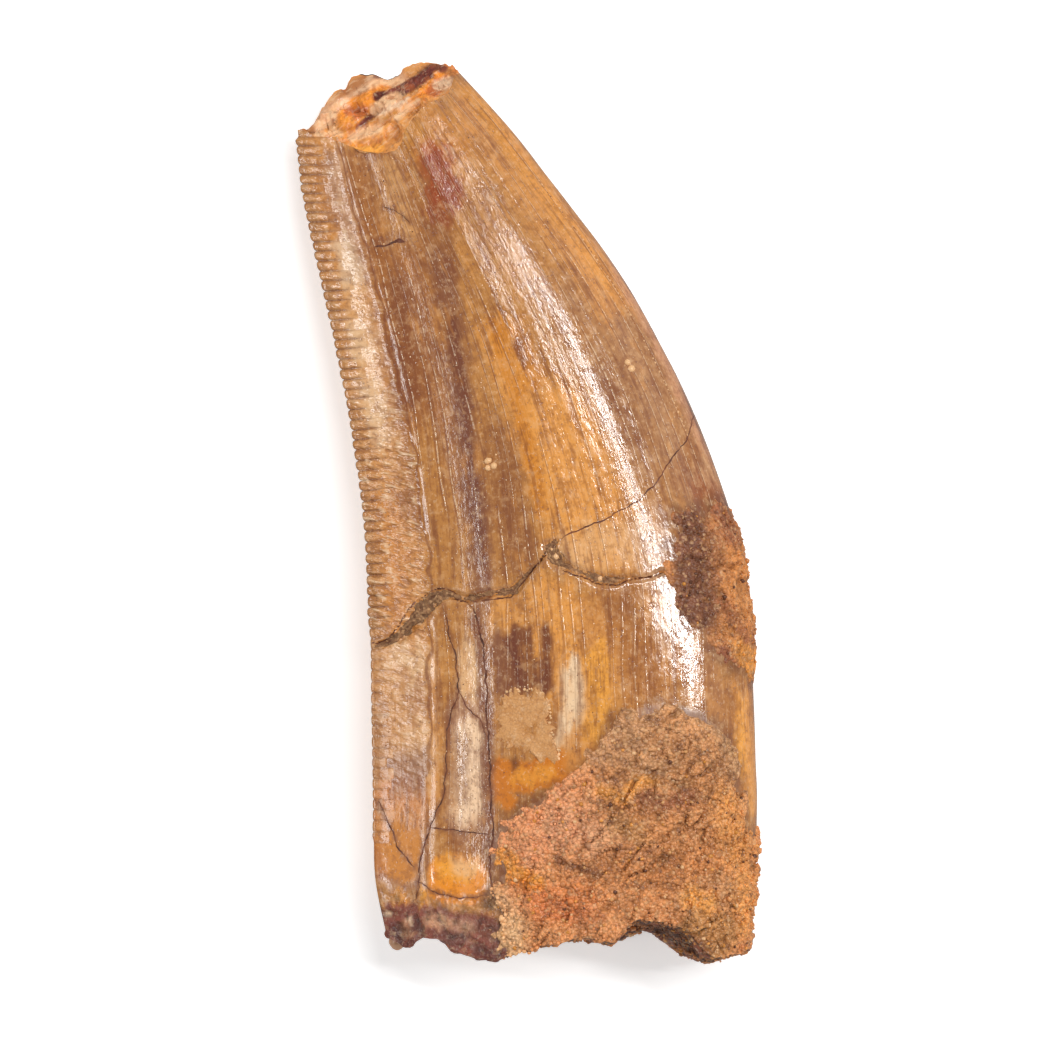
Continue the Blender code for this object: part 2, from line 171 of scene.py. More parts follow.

# Stains of the near face, with a few painted highlights and a painted shadow: (colour, radius in pixels, softness in
# pixels, strength, path in pixels).
STAINS = (
    ("caramel", 21, 10, 1.0, ((326, 150), (342, 230), (362, 330), (380, 430), (396, 540), (402, 640))),
    ("pale tan", 11, 12, 0.55, ((350, 262), (362, 330), (376, 420), (384, 480))),
    ("caramel", 22, 14, 0.7, ((384, 455), (398, 540), (402, 600))),
    ("gold brown", 8, 12, 0.3, ((392, 500), (398, 560), (402, 620))),
    ("mauve", 13, 12, 0.8, ((338, 165), (348, 215), (356, 262))),
    ("brown", 7, 9, 0.7, ((350, 160), (364, 210), (372, 262))),
    ("brown", 6, 8, 0.5, ((322, 160), (330, 196), (336, 226))),
    ("cream", 8, 9, 0.5, ((344, 244), (350, 262), (352, 276))),
    ("cream", 8, 9, 0.4, ((356, 330), (362, 352))),
    ("cream", 9, 10, 0.4, ((372, 390), (378, 420), (382, 438))),
    ("brown", 8, 9, 0.6, ((396, 500), (412, 508), (418, 516))),
    ("brown", 27, 20, 0.9, ((380, 170), (398, 250), (410, 330), (428, 420), (440, 500))),
    ("khaki", 10, 10, 0.8, ((380, 170), (392, 215), (398, 236))),
    ("tan", 6, 8, 0.7, ((390, 165), (402, 205), (412, 240))),
    ("dark brown", 9, 14, 0.7, ((398, 290), (404, 350), (410, 400))),
    ("dark brown", 8, 14, 0.6, ((430, 180), (440, 240), (446, 300))),
    ("khaki", 14, 12, 0.9, ((428, 440), (444, 520), (458, 585))),
    ("khaki", 13, 12, 0.7, ((482, 300), (500, 380), (512, 450))),
    ("plum grey", 9, 10, 0.8, ((440, 262), (450, 310), (456, 350), (462, 400), (472, 480), (480, 545), (484, 596))),
    ("plum", 4, 6, 0.7, ((452, 320), (458, 360), (468, 440), (476, 500), (482, 560))),
    ("dark brown", 12, 16, 0.55, ((500, 440), (508, 500), (520, 560))),
    ("amber", 14, 14, 0.9, ((500, 335), (520, 400), (544, 470), (560, 530))),
    ("amber", 30, 22, 1.0, ((560, 420), (590, 480), (606, 540))),
    ("deep amber", 5, 7, 0.8, ((492, 325), (516, 385), (527, 440), (540, 505))),
    ("deep amber", 9, 12, 0.6, ((505, 330), (520, 352), (530, 372))),
    ("dark brown", 4, 6, 0.8, ((518, 342), (521, 356))),
    ("caramel", 22, 18, 0.9, ((478, 105), (520, 160), (580, 240), (630, 320))),
    ("amber", 6, 8, 0.7, ((476, 92), (498, 130), (560, 215), (612, 290))),
    ("golden", 5, 7, 0.6, ((470, 92), (510, 158), (560, 232))),
    ("deep amber", 10, 12, 0.5, ((424, 112), (440, 132), (462, 150))),
    ("golden", 13, 14, 0.6, ((398, 132), (414, 142), (436, 160))),
    ("rust", 12, 12, 0.9, ((434, 156), (440, 176), (446, 192))),
    ("red brown", 10, 9, 0.9, ((436, 162), (442, 180), (450, 194))),
    ("red brown", 5, 8, 0.7, ((430, 208), (446, 222))),
    # Painted shadow: a soft dark band just above the slit at (375-405, 241-247).
    ("dark brown", 3, 6, 0.7, ((376, 243), (388, 240), (404, 238))),
    ("grey brown", 24, 20, 0.9, ((632, 340), (660, 392), (684, 440), (696, 480))),
    ("grey brown", 18, 18, 0.8, ((560, 300), (590, 350), (620, 410), (640, 470))),
    ("dark brown", 7, 12, 0.5, ((600, 372), (616, 408), (640, 440))),
    ("pink tan", 5, 6, 0.9, ((600, 236), (652, 330), (690, 410), (712, 470), (728, 520), (736, 560))),
    ("pale tan", 17, 14, 0.5, ((574, 548), (606, 545), (640, 540))),
    ("mauve", 14, 14, 0.7, ((650, 520), (660, 580), (672, 640))),
    ("caramel", 30, 20, 0.9, ((560, 620), (600, 640), (640, 680))),
    ("brown", 16, 18, 0.7, ((620, 600), (636, 660), (646, 690))),
    ("amber", 18, 14, 0.9, ((552, 600), (562, 640), (570, 700))),
    ("amber", 10, 12, 0.8, ((505, 602), (515, 622))),
    ("plum grey", 12, 8, 0.9, ((505, 645), (508, 690))),
    ("plum", 14, 6, 0.8, ((520, 640), (528, 676))),
    ("plum", 5, 5, 0.9, ((545, 632), (547, 690))),
    ("amber", 3, 3, 0.9, ((536, 626), (538, 656))),
    ("cream", 9, 7, 0.9, ((572, 668), (572, 704), (566, 736))),
    ("orange", 9, 9, 0.8, ((595, 650), (600, 690), (590, 735))),
    ("khaki", 16, 12, 0.9, ((458, 610), (466, 634))),
    ("pale tan", 10, 7, 0.9, ((470, 648), (472, 690))),
    ("mauve", 19, 7, 0.9, ((466, 716), (470, 760), (468, 822))),
    # Painted highlight: a pale stripe down the glossy patch between the cracks, over its mauve.
    ("white", 12, 9, 0.9, ((470, 734), (472, 770), (468, 806))),
    ("grey brown", 9, 9, 0.6, ((458, 740), (454, 790))),
    ("caramel", 30, 12, 0.9, ((404, 668), (408, 720), (408, 790))),
    ("tan", 22, 16, 0.5, ((404, 668), (408, 720), (410, 760))),
    ("gold brown", 22, 12, 0.7, ((396, 800), (404, 820))),
    ("pale tan", 12, 12, 0.7, ((404, 655), (420, 668))),
    ("brown", 10, 12, 0.5, ((414, 690), (424, 706))),
    ("brown", 7, 8, 0.4, ((380, 715), (382, 770))),
    ("pale tan", 8, 12, 0.4, ((420, 730), (425, 760))),
    ("deep amber", 18, 8, 0.8, ((396, 826), (404, 844))),
    ("deep amber", 16, 4, 1.0, ((390, 842), (392, 864), (402, 868), (406, 850))),
    ("brown", 3, 3, 0.8, ((376, 874), (390, 880), (404, 886), (414, 888))),
    ("red brown", 4, 6, 0.4, ((376, 842), (380, 872))),
    ("fire", 14, 3, 1.0, ((443, 870), (443, 886), (470, 888), (472, 870), (456, 866))),
    ("orange", 9, 8, 0.8, ((448, 866), (466, 868))),
    ("cream", 4, 8, 0.4, ((458, 862), (474, 866))),
    ("deep amber", 3, 3, 0.9, ((424, 890), (428, 906))),
    ("orange", 3, 3, 0.9, ((421, 884), (423, 910))),
    ("gold", 6, 5, 0.9, ((400, 896), (404, 902))),
    ("brown", 10, 10, 0.8, ((456, 842), (480, 844))),
    ("gold brown", 15, 3, 1.0, ((504, 772), (522, 776), (544, 772), (562, 762))),
    ("gold brown", 8, 3, 1.0, ((498, 788), (508, 800))),
    ("orange", 7, 6, 0.5, ((520, 776), (546, 774))),
    ("dark sand", 3, 3, 0.8, ((514, 758), (516, 764))),
    ("caramel", 12, 12, 0.9, ((575, 742), (584, 770))),
    ("plum brown", 22, 5, 1.0, ((380, 928), (410, 926), (440, 930), (475, 936), (496, 940))),
    ("mauve", 5, 6, 0.6, ((430, 918), (452, 922), (470, 926))),
    ("plum", 6, 5, 0.8, ((440, 934), (462, 940))),
    ("maroon", 5, 5, 0.9, ((392, 930), (410, 940))),
    ("cream", 1.5, 2, 0.8, ((386, 912), (390, 914))),
    ("cream", 1.5, 2, 0.8, ((408, 918), (411, 922))),
    ("cream", 1.5, 2, 0.8, ((470, 940), (474, 944))),
    ("red brown", 7, 7, 0.9, ((470, 948), (492, 955))),
    ("maroon", 6, 6, 0.9, ((480, 950), (496, 958))),
    ("pink tan", 4, 5, 0.7, ((428, 922), (446, 922))),
    ("pink tan", 3, 4, 0.7, ((404, 922), (408, 934))),
    ("plum grey", 5, 5, 0.9, ((476, 612), (484, 660), (487, 720), (490, 800), (490, 866))),
    ("amber", 12, 8, 0.9, ((744, 690), (748, 760), (752, 830))),
    # Painted highlight: a brighter orange line along the amber band at the right edge.
    ("orange", 4, 4, 0.6, ((738, 700), (741, 770))),
    ("brown", 16, 14, 0.7, ((690, 470), (712, 490), (726, 520))),
    ("red brown", 8, 10, 0.5, ((700, 486), (718, 504))),
    ("pale tan", 6, 8, 0.4, ((700, 470), (706, 478))),
    ("brown", 14, 12, 0.6, ((690, 660), (712, 690), (722, 720))),
)
FAR_STAINS = (
    ("tan", 60, 60, 0.7, ((360, 250), (420, 500), (430, 760))),
    ("amber", 40, 40, 0.8, ((560, 300), (610, 450), (640, 560))),
    ("brown", 26, 30, 0.8, ((440, 200), (500, 380), (520, 560))),
    ("plum grey", 10, 14, 0.8, ((470, 240), (540, 470), (560, 620))),
    ("grey brown", 30, 30, 0.8, ((640, 380), (700, 520), (720, 640))),
    ("deep amber", 24, 20, 0.7, ((460, 640), (470, 760))),
    ("plum", 16, 10, 0.9, ((384, 918), (440, 925), (492, 940))),
)
# Stains of the base crust, with a few dark lines and a patch of painted shade.
CRUST_STAINS = (
    ("grey sand", 60, 30, 1.0, ((640, 730), (700, 740))),
    ("grey brown", 22, 14, 0.8, ((612, 720), (600, 756), (622, 770))),
    ("brown", 22, 14, 0.5, ((668, 735), (700, 752), (706, 786))),
    ("pink sand", 40, 16, 1.0, ((505, 830), (535, 812), (560, 806))),
    ("pink tan", 14, 14, 0.7, ((556, 822), (586, 812))),
    ("mauve", 14, 12, 0.6, ((596, 838), (622, 826), (640, 846))),
    ("grey brown", 34, 24, 0.7, ((630, 800), (700, 810))),
    # Painted shade: two thin dark lines along crevices of the crust.
    ("dark sand", 4, 7, 0.8, ((622, 846), (650, 850), (676, 862))),
    ("dark sand", 3, 7, 0.8, ((556, 856), (582, 866), (600, 872))),
    ("brown", 30, 24, 0.55, ((640, 850), (690, 860), (730, 850))),
    ("brown", 24, 20, 0.5, ((600, 790), (640, 800), (700, 790))),
    ("dark brown", 6, 8, 0.7, ((642, 796), (664, 802), (690, 794))),
    ("olive", 9, 9, 0.5, ((618, 824), (636, 832))),
    ("caramel", 12, 14, 0.6, ((726, 800), (738, 850), (740, 900))),
    ("grey brown", 14, 14, 0.7, ((690, 900), (730, 890))),
    ("golden", 5, 5, 0.6, ((600, 790), (622, 796), (636, 780), (650, 778))),
    ("pale tan", 16, 14, 0.8, ((505, 905), (506, 940))),
    ("gold", 8, 5, 0.9, ((500, 868), (520, 874), (536, 880))),
    ("gold", 6, 4, 0.7, ((502, 852), (514, 858))),
    ("orange brown", 15, 12, 0.5, ((520, 892), (556, 900), (580, 896))),
    ("red brown", 8, 10, 0.3, ((540, 905), (590, 915))),
    ("amber", 9, 7, 0.9, ((690, 893), (706, 900))),
    ("olive", 14, 8, 0.7, ((696, 922), (722, 930), (712, 942))),
    # Painted shade: a dark patch in the low notch of the crust at the bottom edge.
    ("dark sand", 8, 8, 0.8, ((650, 928), (672, 934), (700, 950))),
    ("caramel", 6, 8, 0.7, ((742, 880), (744, 930))),
)
MESIAL_STAINS = (
    ("dark sand", 24, 12, 1.0, ((696, 530), (702, 570), (696, 605))),
    ("golden", 10, 12, 0.35, ((738, 560), (742, 620))),
    ("golden", 8, 8, 0.3, ((728, 590), (734, 640))),
    ("brown", 26, 14, 0.6, ((735, 520), (742, 590), (750, 650))),
    ("dark brown", 5, 6, 0.7, ((716, 508), (728, 522), (732, 540))),
    ("dark brown", 5, 6, 0.6, ((722, 600), (736, 622), (748, 640))),
    ("dark brown", 7, 7, 0.9, ((722, 656), (732, 668))),
    ("golden", 8, 8, 0.7, ((742, 650), (752, 668))),
)
TIP_STAINS = (
    ("caramel", 70, 10, 1.0, ((380, 100), (420, 90))),
    ("mauve", 9, 6, 0.9, ((318, 122), (338, 104), (358, 88), (376, 78), (396, 78))),
    ("blush", 5, 4, 0.9, ((320, 124), (336, 108), (344, 100))),
    ("brown", 4, 4, 0.9, ((340, 92), (350, 84), (362, 76))),
    ("dark brown", 4, 4, 0.8, ((376, 72), (388, 72))),
    ("blush", 5, 5, 0.9, ((374, 84), (390, 82), (402, 82))),
    ("fire", 10, 3, 1.0, ((350, 130), (347, 116), (357, 105), (370, 98), (384, 93))),
    ("gold", 5, 4, 0.7, ((352, 124), (360, 120))),
    ("orange brown", 5, 3, 1.0, ((348, 110), (356, 114), (362, 108))),
    ("red brown", 2, 2, 0.9, ((350, 118), (356, 124))),
    ("gold", 6, 4, 0.9, ((330, 132), (342, 130), (348, 122))),
    ("blush", 3, 3, 0.8, ((332, 128), (340, 134))),
    ("maroon", 5, 2, 1.0, ((377, 94), (390, 92), (404, 86), (418, 78), (432, 71))),
    ("plum brown", 3, 2, 0.8, ((392, 90), (408, 86), (420, 80))),
    ("maroon", 2.5, 2, 1.0, ((400, 92), (388, 102), (376, 110), (366, 118), (358, 129))),
    ("blush", 5, 2, 1.0, ((374, 108), (386, 99), (396, 95))),
    ("white", 4, 2, 1.0, ((380, 116), (392, 108), (408, 100))),
    ("blush", 4, 3, 1.0, ((352, 136), (364, 132), (378, 128))),
    ("golden", 2.5, 2, 0.9, ((376, 120), (388, 114), (396, 110))),
    ("fire", 5, 3, 1.0, ((408, 108), (416, 100), (424, 92), (432, 84))),
    ("blush", 2.5, 2, 0.9, ((396, 118), (408, 108), (418, 100))),
    ("orange brown", 6, 3, 1.0, ((434, 90), (444, 72), (456, 72), (462, 80))),
    ("fire", 4, 3, 0.9, ((438, 72), (446, 68), (454, 74))),
    ("white", 5, 2, 1.0, ((438, 84), (446, 82), (454, 80))),
    ("brown", 3, 3, 0.9, ((444, 66), (460, 78), (466, 84))),
    ("maroon", 4, 3, 0.9, ((422, 72), (432, 66), (442, 66))),
    ("blush", 4, 3, 0.8, ((318, 136), (332, 136))),
    ("gold", 3, 3, 0.9, ((312, 140), (326, 140), (336, 139))),
    ("brown", 8, 5, 0.9, ((304, 130), (300, 142))),
    ("orange", 4, 3, 0.9, ((352, 146), (366, 150), (380, 148))),
    ("caramel", 3, 3, 0.9, ((388, 140), (400, 128), (414, 114))),
)

# Smooth, unstreaked panels of the enamel: (radius in pixels, path in pixels).
CALM_PANELS = (
    (15, ((504, 772), (522, 776), (544, 772), (562, 762))),
    (8, ((498, 788), (508, 800))),
    (17, ((392, 840), (396, 866), (404, 848))),
    (14, ((443, 874), (456, 876), (472, 878))),
)

# Outlines in pixels of what lies on the enamel.
SANDY_PATCH = ((495, 714), (498, 700), (506, 691), (519, 689), (531, 687), (543, 694), (549, 706), (550, 722),
               (553, 738), (560, 751), (556, 760), (545, 760), (530, 753), (514, 747), (503, 741), (497, 728))
TIP_FLAKE = ((346, 139), (352, 147), (360, 152), (370, 153), (380, 152), (381, 147), (384, 140), (377, 139),
             (368, 142), (356, 139))

# Grains as (x, y, height, radius, colour), and specks as (x, y, radius): pixels, then millimetres.
LONE_GRAINS = (
    (397, 942, 4.9, 0.52, "mauve"), (403, 938, 5.2, 0.34, "plum brown"), (389, 934, 5.2, 0.36, "plum brown"),
    (619, 934, 3.4, 0.52, "dark sand"), (625, 932, 3.6, 0.44, "dark sand"),
)
SPECKS = ((488, 461, 0.34), (494, 466, 0.30), (488, 468, 0.26), (496, 455, 0.12), (627, 363, 0.34), (631, 369, 0.28),
          (455, 145, 0.10), (448, 143, 0.09), (440, 135, 0.08), (556, 556, 0.32), (552, 549, 0.22), (600, 578, 0.24),
          (588, 575, 0.16), (462, 690, 0.14), (430, 505, 0.10), (365, 420, 0.10))

TABLE = np.random.default_rng(11).permutation(256)
GRADIENTS = np.random.default_rng(12).normal(size=(256, 3))
GRADIENTS /= np.linalg.norm(GRADIENTS, axis=1, keepdims=True)


def noise(points, size, seed=0):
    """Smooth noise from about -1 to 1 at each point, with features of that size, which may differ by axis."""
    p = np.asarray(points, float) / np.asarray(size, float) + seed * 13.7
    cell = np.floor(p).astype(int)
    part = p - cell
    fade = part**3 * (part * (part * 6 - 15) + 10)
    total = np.zeros(p.shape[:-1])
    for corner in np.ndindex(2, 2, 2):
        x, y, z = np.moveaxis((cell + corner) & 255, -1, 0)
        slope = GRADIENTS[TABLE[(TABLE[(TABLE[x] + y) & 255] + z) & 255]]
        weight = np.prod(np.where(corner, fade, 1 - fade), axis=-1)
        total += weight * np.sum(slope * (part - corner), axis=-1)
    return total * 1.7


def ramp(value, low, high):
    """0 below low, 1 above high, and smooth between."""
    f = np.clip((value - low) / (high - low), 0, 1)
    return f * f * (3 - 2 * f)


def bell(at, middle, width):
    return np.exp(-(((at - middle) / width) ** 2))


def smooth(points, at):
    """The value at each place on the cubic curve through (place, value) points, straight past its ends."""
    place, value = np.array(points, float).T
    slope = np.gradient(value, place)
    at = np.asarray(at, float)
    i = np.clip(np.searchsorted(place, at) - 1, 0, len(place) - 2)
    width = place[i + 1] - place[i]
    f = (at - place[i]) / width
    inside = (
        (1 + 2 * f) * (1 - f) ** 2 * value[i]
        + f * (1 - f) ** 2 * width * slope[i]
        + f**2 * (3 - 2 * f) * value[i + 1]
        + f**2 * (f - 1) * width * slope[i + 1]
    )
    before = value[0] + (at - place[0]) * slope[0]
    after = value[-1] + (at - place[-1]) * slope[-1]
    return np.where(at < place[0], before, np.where(at > place[-1], after, inside))


def edge_length(edge):
    return float(np.hypot(*np.diff(np.array(edge), axis=0).T).sum())


def along(edge, share):
    """The (x, y) at each share of an edge's length, on the smooth curve through its points."""
    xy = np.array(edge)
    reached = np.concatenate([[0], np.cumsum(np.hypot(*np.diff(xy, axis=0).T))])
    at = np.asarray(share, float) * reached[-1]
    return np.stack([smooth(np.column_stack([reached, xy[:, k]]), at) for k in (0, 1)], axis=-1)


def flange_edge(v):
    """Where the flattened band beside the serrations ends, as a share of the way across."""
    return 0.145 + 0.065 * np.clip(v, 0, 1) ** 2


def near_profile(s, v):
    peak = 0.66
    flange = flange_edge(v)
    rise = np.sin(np.pi / 2 * (np.clip(s, 0, peak) / peak) ** 0.92)
    rise = rise + 0.055 * bell(s, flange * 0.98, 0.052) - 0.02 * bell(s, flange * 1.5, 0.06)
    fall = (1 - (np.clip(s - peak, 0, None) / (1 - peak)) ** 2.3) ** (1 / 2.3)
    return np.where(s < peak, rise, fall)


def far_profile(s):
    peak = 0.56
    rise = np.sin(np.pi / 2 * (np.clip(s, 0, peak) / peak) ** 0.95)
    fall = (1 - (np.clip(s - peak, 0, None) / (1 - peak)) ** 2.1) ** (1 / 2.1)
    return np.where(s < peak, rise, fall)


def crown_point(s, near, v):
    """A point of the crown: s runs from the distal to the mesial edge and v from the base to the tip."""
    s, v = np.broadcast_arrays(np.asarray(s, float), np.asarray(v, float))
    distal, mesial = along(DISTAL_EDGE, v), along(MESIAL_EDGE, v)
    xy = distal + (mesial - distal) * s[..., None]
    edge = EDGE_HALF_THICKNESS * (1 - np.clip(s, 0, 1) ** 6)
    up = edge + (smooth(NEAR_RISE, v) - edge) * near_profile(s, v)
    down = edge + (smooth(FAR_DROP, v) - edge) * far_profile(s)
    z = smooth(MIDDLE_HEIGHT, v) + np.where(near, up, -down)
    return np.concatenate([xy, z[..., None]], axis=-1)


def end_places(s, near):
    """Where the base and the tip lie at each place round a section, as shares of the crown's length."""
    length = (edge_length(DISTAL_EDGE) + edge_length(MESIAL_EDGE)) / 2
    base = np.where(near, smooth(BASE_NEAR_END, s), smooth(BASE_FAR_END, s))
    tip = np.where(near, smooth(TIP_NEAR_END, s), smooth(TIP_FAR_END, s))
    rim = np.stack([24.0 * s, np.where(near, 0.0, FACES_APART), 0.0 * s], axis=-1)
    base = base + 0.16 * noise(rim, 1.1, 27) + 0.09 * noise(rim, 0.45, 28)
    tip = tip + (0.10 * noise(rim, 0.7, 29) + 0.05 * noise(rim, 0.3, 30)) * (1 - bell(s, 0, 0.03))
    return -base / length, 1 + tip / length


def growth(s, v, near):
    """Coordinates that follow the growth lines: millimetres across and along them, and which face it is."""
    across = s - 0.18 * np.clip(v - 0.45, 0, None) * bell(s, 0.35, 0.2)
    return np.stack([across * CROWN_WIDTH, v * CROWN_LENGTH, np.where(near, 0.0, FACES_APART)], axis=-1)


def plan(pixels):
    """Photograph pixels to millimetres in plan."""
    p = np.asarray(pixels, float)
    return np.stack([p[..., 0] - MIDDLE_PIXEL[0], MIDDLE_PIXEL[1] - p[..., 1]], axis=-1) / PIXELS_PER_MM


def path_distance(xy, path):
    """The distance from each point to a path in plan, and how far along the path it is, from 0 to 1."""
    path = np.asarray(path, float)
    best = np.full(len(xy), np.inf)
    place = np.zeros(len(xy))
    for k in range(max(len(path) - 1, 1)):
        a, b = path[k], path[min(k + 1, len(path) - 1)]
        run = b - a
        f = np.clip((xy - a) @ run / max(run @ run, 1e-12), 0, 1)
        d = np.hypot(*(xy - a - f[:, None] * run).T)
        nearer = d < best
        best = np.where(nearer, d, best)
        place = np.where(nearer, (k + f) / max(len(path) - 1, 1), place)
    return best, place


def inside_by(xy, outline):
    """How far each point is inside a closed outline, in millimetres; negative outside."""
    ring = np.array(outline, float)
    distance, _ = path_distance(xy, np.vstack([ring, ring[:1]]))
    inside = np.zeros(len(xy), bool)
    for a, b in zip(ring, np.roll(ring, -1, axis=0)):
        if a[1] == b[1]:
            continue
        crosses = (a[1] > xy[:, 1]) != (b[1] > xy[:, 1])
        inside ^= crosses & (xy[:, 0] < (b[0] - a[0]) * (xy[:, 1] - a[1]) / (b[1] - a[1]) + a[0])
    return np.where(inside, distance, -distance)


def crust_cover(points, outline, lean):
    """How far each point is inside a crust, which leans over below the tooth's middle."""
    foot = np.clip((6.0 - points[:, 2:3]) / 6.0, 0, None)
    return inside_by(points[:, :2] - foot * np.array(lean), outline)


def linear(srgb):
    """The surface colour that looks like this sRGB colour under the studio light, gloss and all."""
    c = np.asarray(srgb, float) / 255
    seen = np.where(c <= 0.04045, c / 12.92, ((c + 0.055) / 1.055) ** 2.4)
    return (seen - np.minimum(SEEN_GLOSS, 0.45 * seen)) / SEEN_LIGHT


def painted(points, ground, stains, comb=None, tear=1.0):
    """The colour of each point: a ground and then each stain, painted highlight or painted shade over it, with edges
    torn by noise.
    """
    xy = points[:, :2]
    colour = np.tile(linear(PALETTE[ground]), (len(xy), 1))
    warp = np.stack([noise(points, 1.3, 1), noise(points, 1.3, 2)], axis=-1) * 0.28
    warp += np.stack([noise(points, 0.45, 3), noise(points, 0.45, 4)], axis=-1) * 0.12
    warp *= tear
    if comb is not None:
        warp[:, 1] += 0.9 * comb
    grain = 0.35 * noise(points, 0.8, 5) + 0.25 * noise(points, 0.3, 6)
    for name, radius, softness, strength, path in stains:
        away, _ = path_distance(xy + warp * min(1.0, softness / 9), plan(path))
        away = away * PIXELS_PER_MM + grain * softness
        weight = strength * (1 - ramp(away, radius - softness * 0.5, radius + softness))
        colour += (linear(PALETTE[name]) - colour) * weight[:, None]
    return colour


def grid_normals(points, closed):
    """Outward normals of a grid of points whose columns go round the crown."""
    if closed:
        across = np.roll(points, -1, axis=1) - np.roll(points, 1, axis=1)
    else:
        across = np.gradient(points, axis=1)
    up = np.gradient(points, axis=0)
    normal = np.cross(across, up)
    return normal / np.maximum(np.linalg.norm(normal, axis=-1, keepdims=True), 1e-9)


def grid_faces(rows, columns, closed, first=0, flip=False):
    """The quads of a grid of points numbered row by row."""
    i = np.arange(rows - 1)[:, None] * columns
    j = np.arange(columns if closed else columns - 1)[None, :]
    right = (j + 1) % columns
    quads = np.stack([i + j, i + right, i + columns + right, i + columns + j], axis=-1).reshape(-1, 4) + first
    return quads[:, ::-1] if flip else quads


def mesh_object(name, points, faces, colour, growth_lines=None, masks=None):
    """A smooth mesh piece from points in millimetres, with its colour, growth lines and masks as attributes."""
    mesh = bpy.data.meshes.new(name)
    placed = (np.asarray(points).reshape(-1, 3) + TO_ORIGIN) * MM
    placed[:, 2] = np.maximum(placed[:, 2], 0.0)
    mesh.from_pydata(placed.tolist(), [], np.asarray(faces).tolist())
    bright = np.maximum(colour.max(axis=1, keepdims=True) / 0.95, 1.0)
    paint = np.column_stack([np.clip(colour / bright, 0, 1), np.ones(len(colour))])
    mesh.attributes.new("paint", "FLOAT_COLOR", "POINT").data.foreach_set("color", paint.ravel())
    if growth_lines is not None:
        mesh.attributes.new("growth", "FLOAT_VECTOR", "POINT").data.foreach_set("vector", growth_lines.ravel())
    for key, values in (masks or {}).items():
        mesh.attributes.new(key, "FLOAT", "POINT").data.foreach_set("value", np.asarray(values, float).ravel())
    mesh.polygons.foreach_set("use_smooth", [True] * len(mesh.polygons))
    mesh.update()
    obj = bpy.data.objects.new(name, mesh)
    bpy.context.scene.collection.objects.link(obj)
    return obj


def node(tree, kind, inputs=None, **settings):
    """A shader node with its settings made and its inputs set or linked."""
    made = tree.nodes.new(kind)
    for key, value in settings.items():
        setattr(made, key, value)
    for key, value in (inputs or {}).items():
        if isinstance(value, bpy.types.NodeSocket):
            tree.links.new(value, made.inputs[key])
        else:
            made.inputs[key].default_value = value
    return made


def calc(tree, operation, a, b=0.0):
    return node(tree, "ShaderNodeMath", {0: a, 1: b}, operation=operation).outputs[0]


def times(tree, a, b):
    return calc(tree, "MULTIPLY", a, b)


def minus(tree, a, b):
    return calc(tree, "SUBTRACT", a, b)


def summed(tree, *terms):
    """The sum of terms, each a value and its factor."""
    total = times(tree, *terms[0])
    for value, factor in terms[1:]:
        total = calc(tree, "ADD", total, times(tree, value, factor))
    return total


def stepped(tree, value, low, high, to_low=0.0, to_high=1.0):
    """A smooth step of a value from one range to another."""
    inputs = {"Value": value, "From Min": low, "From Max": high, "To Min": to_low, "To Max": to_high}
    return node(tree, "ShaderNodeMapRange", inputs, interpolation_type="SMOOTHSTEP").outputs[0]


def tinted(tree, colour, share, name):
    """The colour, mixed with a share of a palette colour."""
    other = (*np.minimum(linear(PALETTE[name]), 0.95), 1.0)
    return node(tree, "ShaderNodeMix", {0: share, 6: colour, 7: other}, data_type="RGBA").outputs[2]


def weathered(tree, colour, *tints):
    """The colour under tints, each (value, where it starts, where it is full, share, mask or None, name)."""
    for value, low, high, most, mask, name in tints:
        share = stepped(tree, value, low, high, 0.0, most)
        colour = tinted(tree, colour, times(tree, share, mask) if mask else share, name)
    return colour


def grainy(tree, vector, scale, detail=2.0, rough=0.5):
    stretched = node(tree, "ShaderNodeVectorMath", {0: vector, 1: scale}, operation="MULTIPLY").outputs[0]
    inputs = {"Vector": stretched, "Scale": 1.0, "Detail": detail, "Roughness": rough}
    return node(tree, "ShaderNodeTexNoise", inputs).outputs["Fac"]


def dotted_by(tree, vector, scale):
    """The distance to the nearest of scattered dots."""
    return node(tree, "ShaderNodeTexVoronoi", {"Vector": vector, "Scale": scale}).outputs["Distance"]


def turned_by(tree, vector, degrees):
    inputs = {"Vector": vector, "Rotation": (0.0, 0.0, math.radians(degrees))}
    return node(tree, "ShaderNodeMapping", inputs).outputs[0]


def new_material(name, roughness=0.5, **shader_values):
    made = bpy.data.materials.new(name)
    made.use_nodes = True
    shader = made.node_tree.nodes["Principled BSDF"]
    shader.inputs["Roughness"].default_value = roughness
    for key, value in shader_values.items():
        shader.inputs[key.replace("_", " ")].default_value = value
    return made, made.node_tree, shader


def attribute(tree, name, output="Fac"):
    return node(tree, "ShaderNodeAttribute", attribute_name=name).outputs[output]


def millimetres(tree):
    """The place on the piece in millimetres."""
    place = node(tree, "ShaderNodeTexCoord").outputs["Object"]
    return node(tree, "ShaderNodeVectorMath", {0: place, 3: 1 / MM}, operation="SCALE").outputs[0]


def bumped(tree, shader, height):
    """Gives the shader a relief whose height is in millimetres."""
    bump = node(tree, "ShaderNodeBump", {"Height": height, "Distance": MM, "Strength": 1.0})
    tree.links.new(bump.outputs["Normal"], shader.inputs["Normal"])


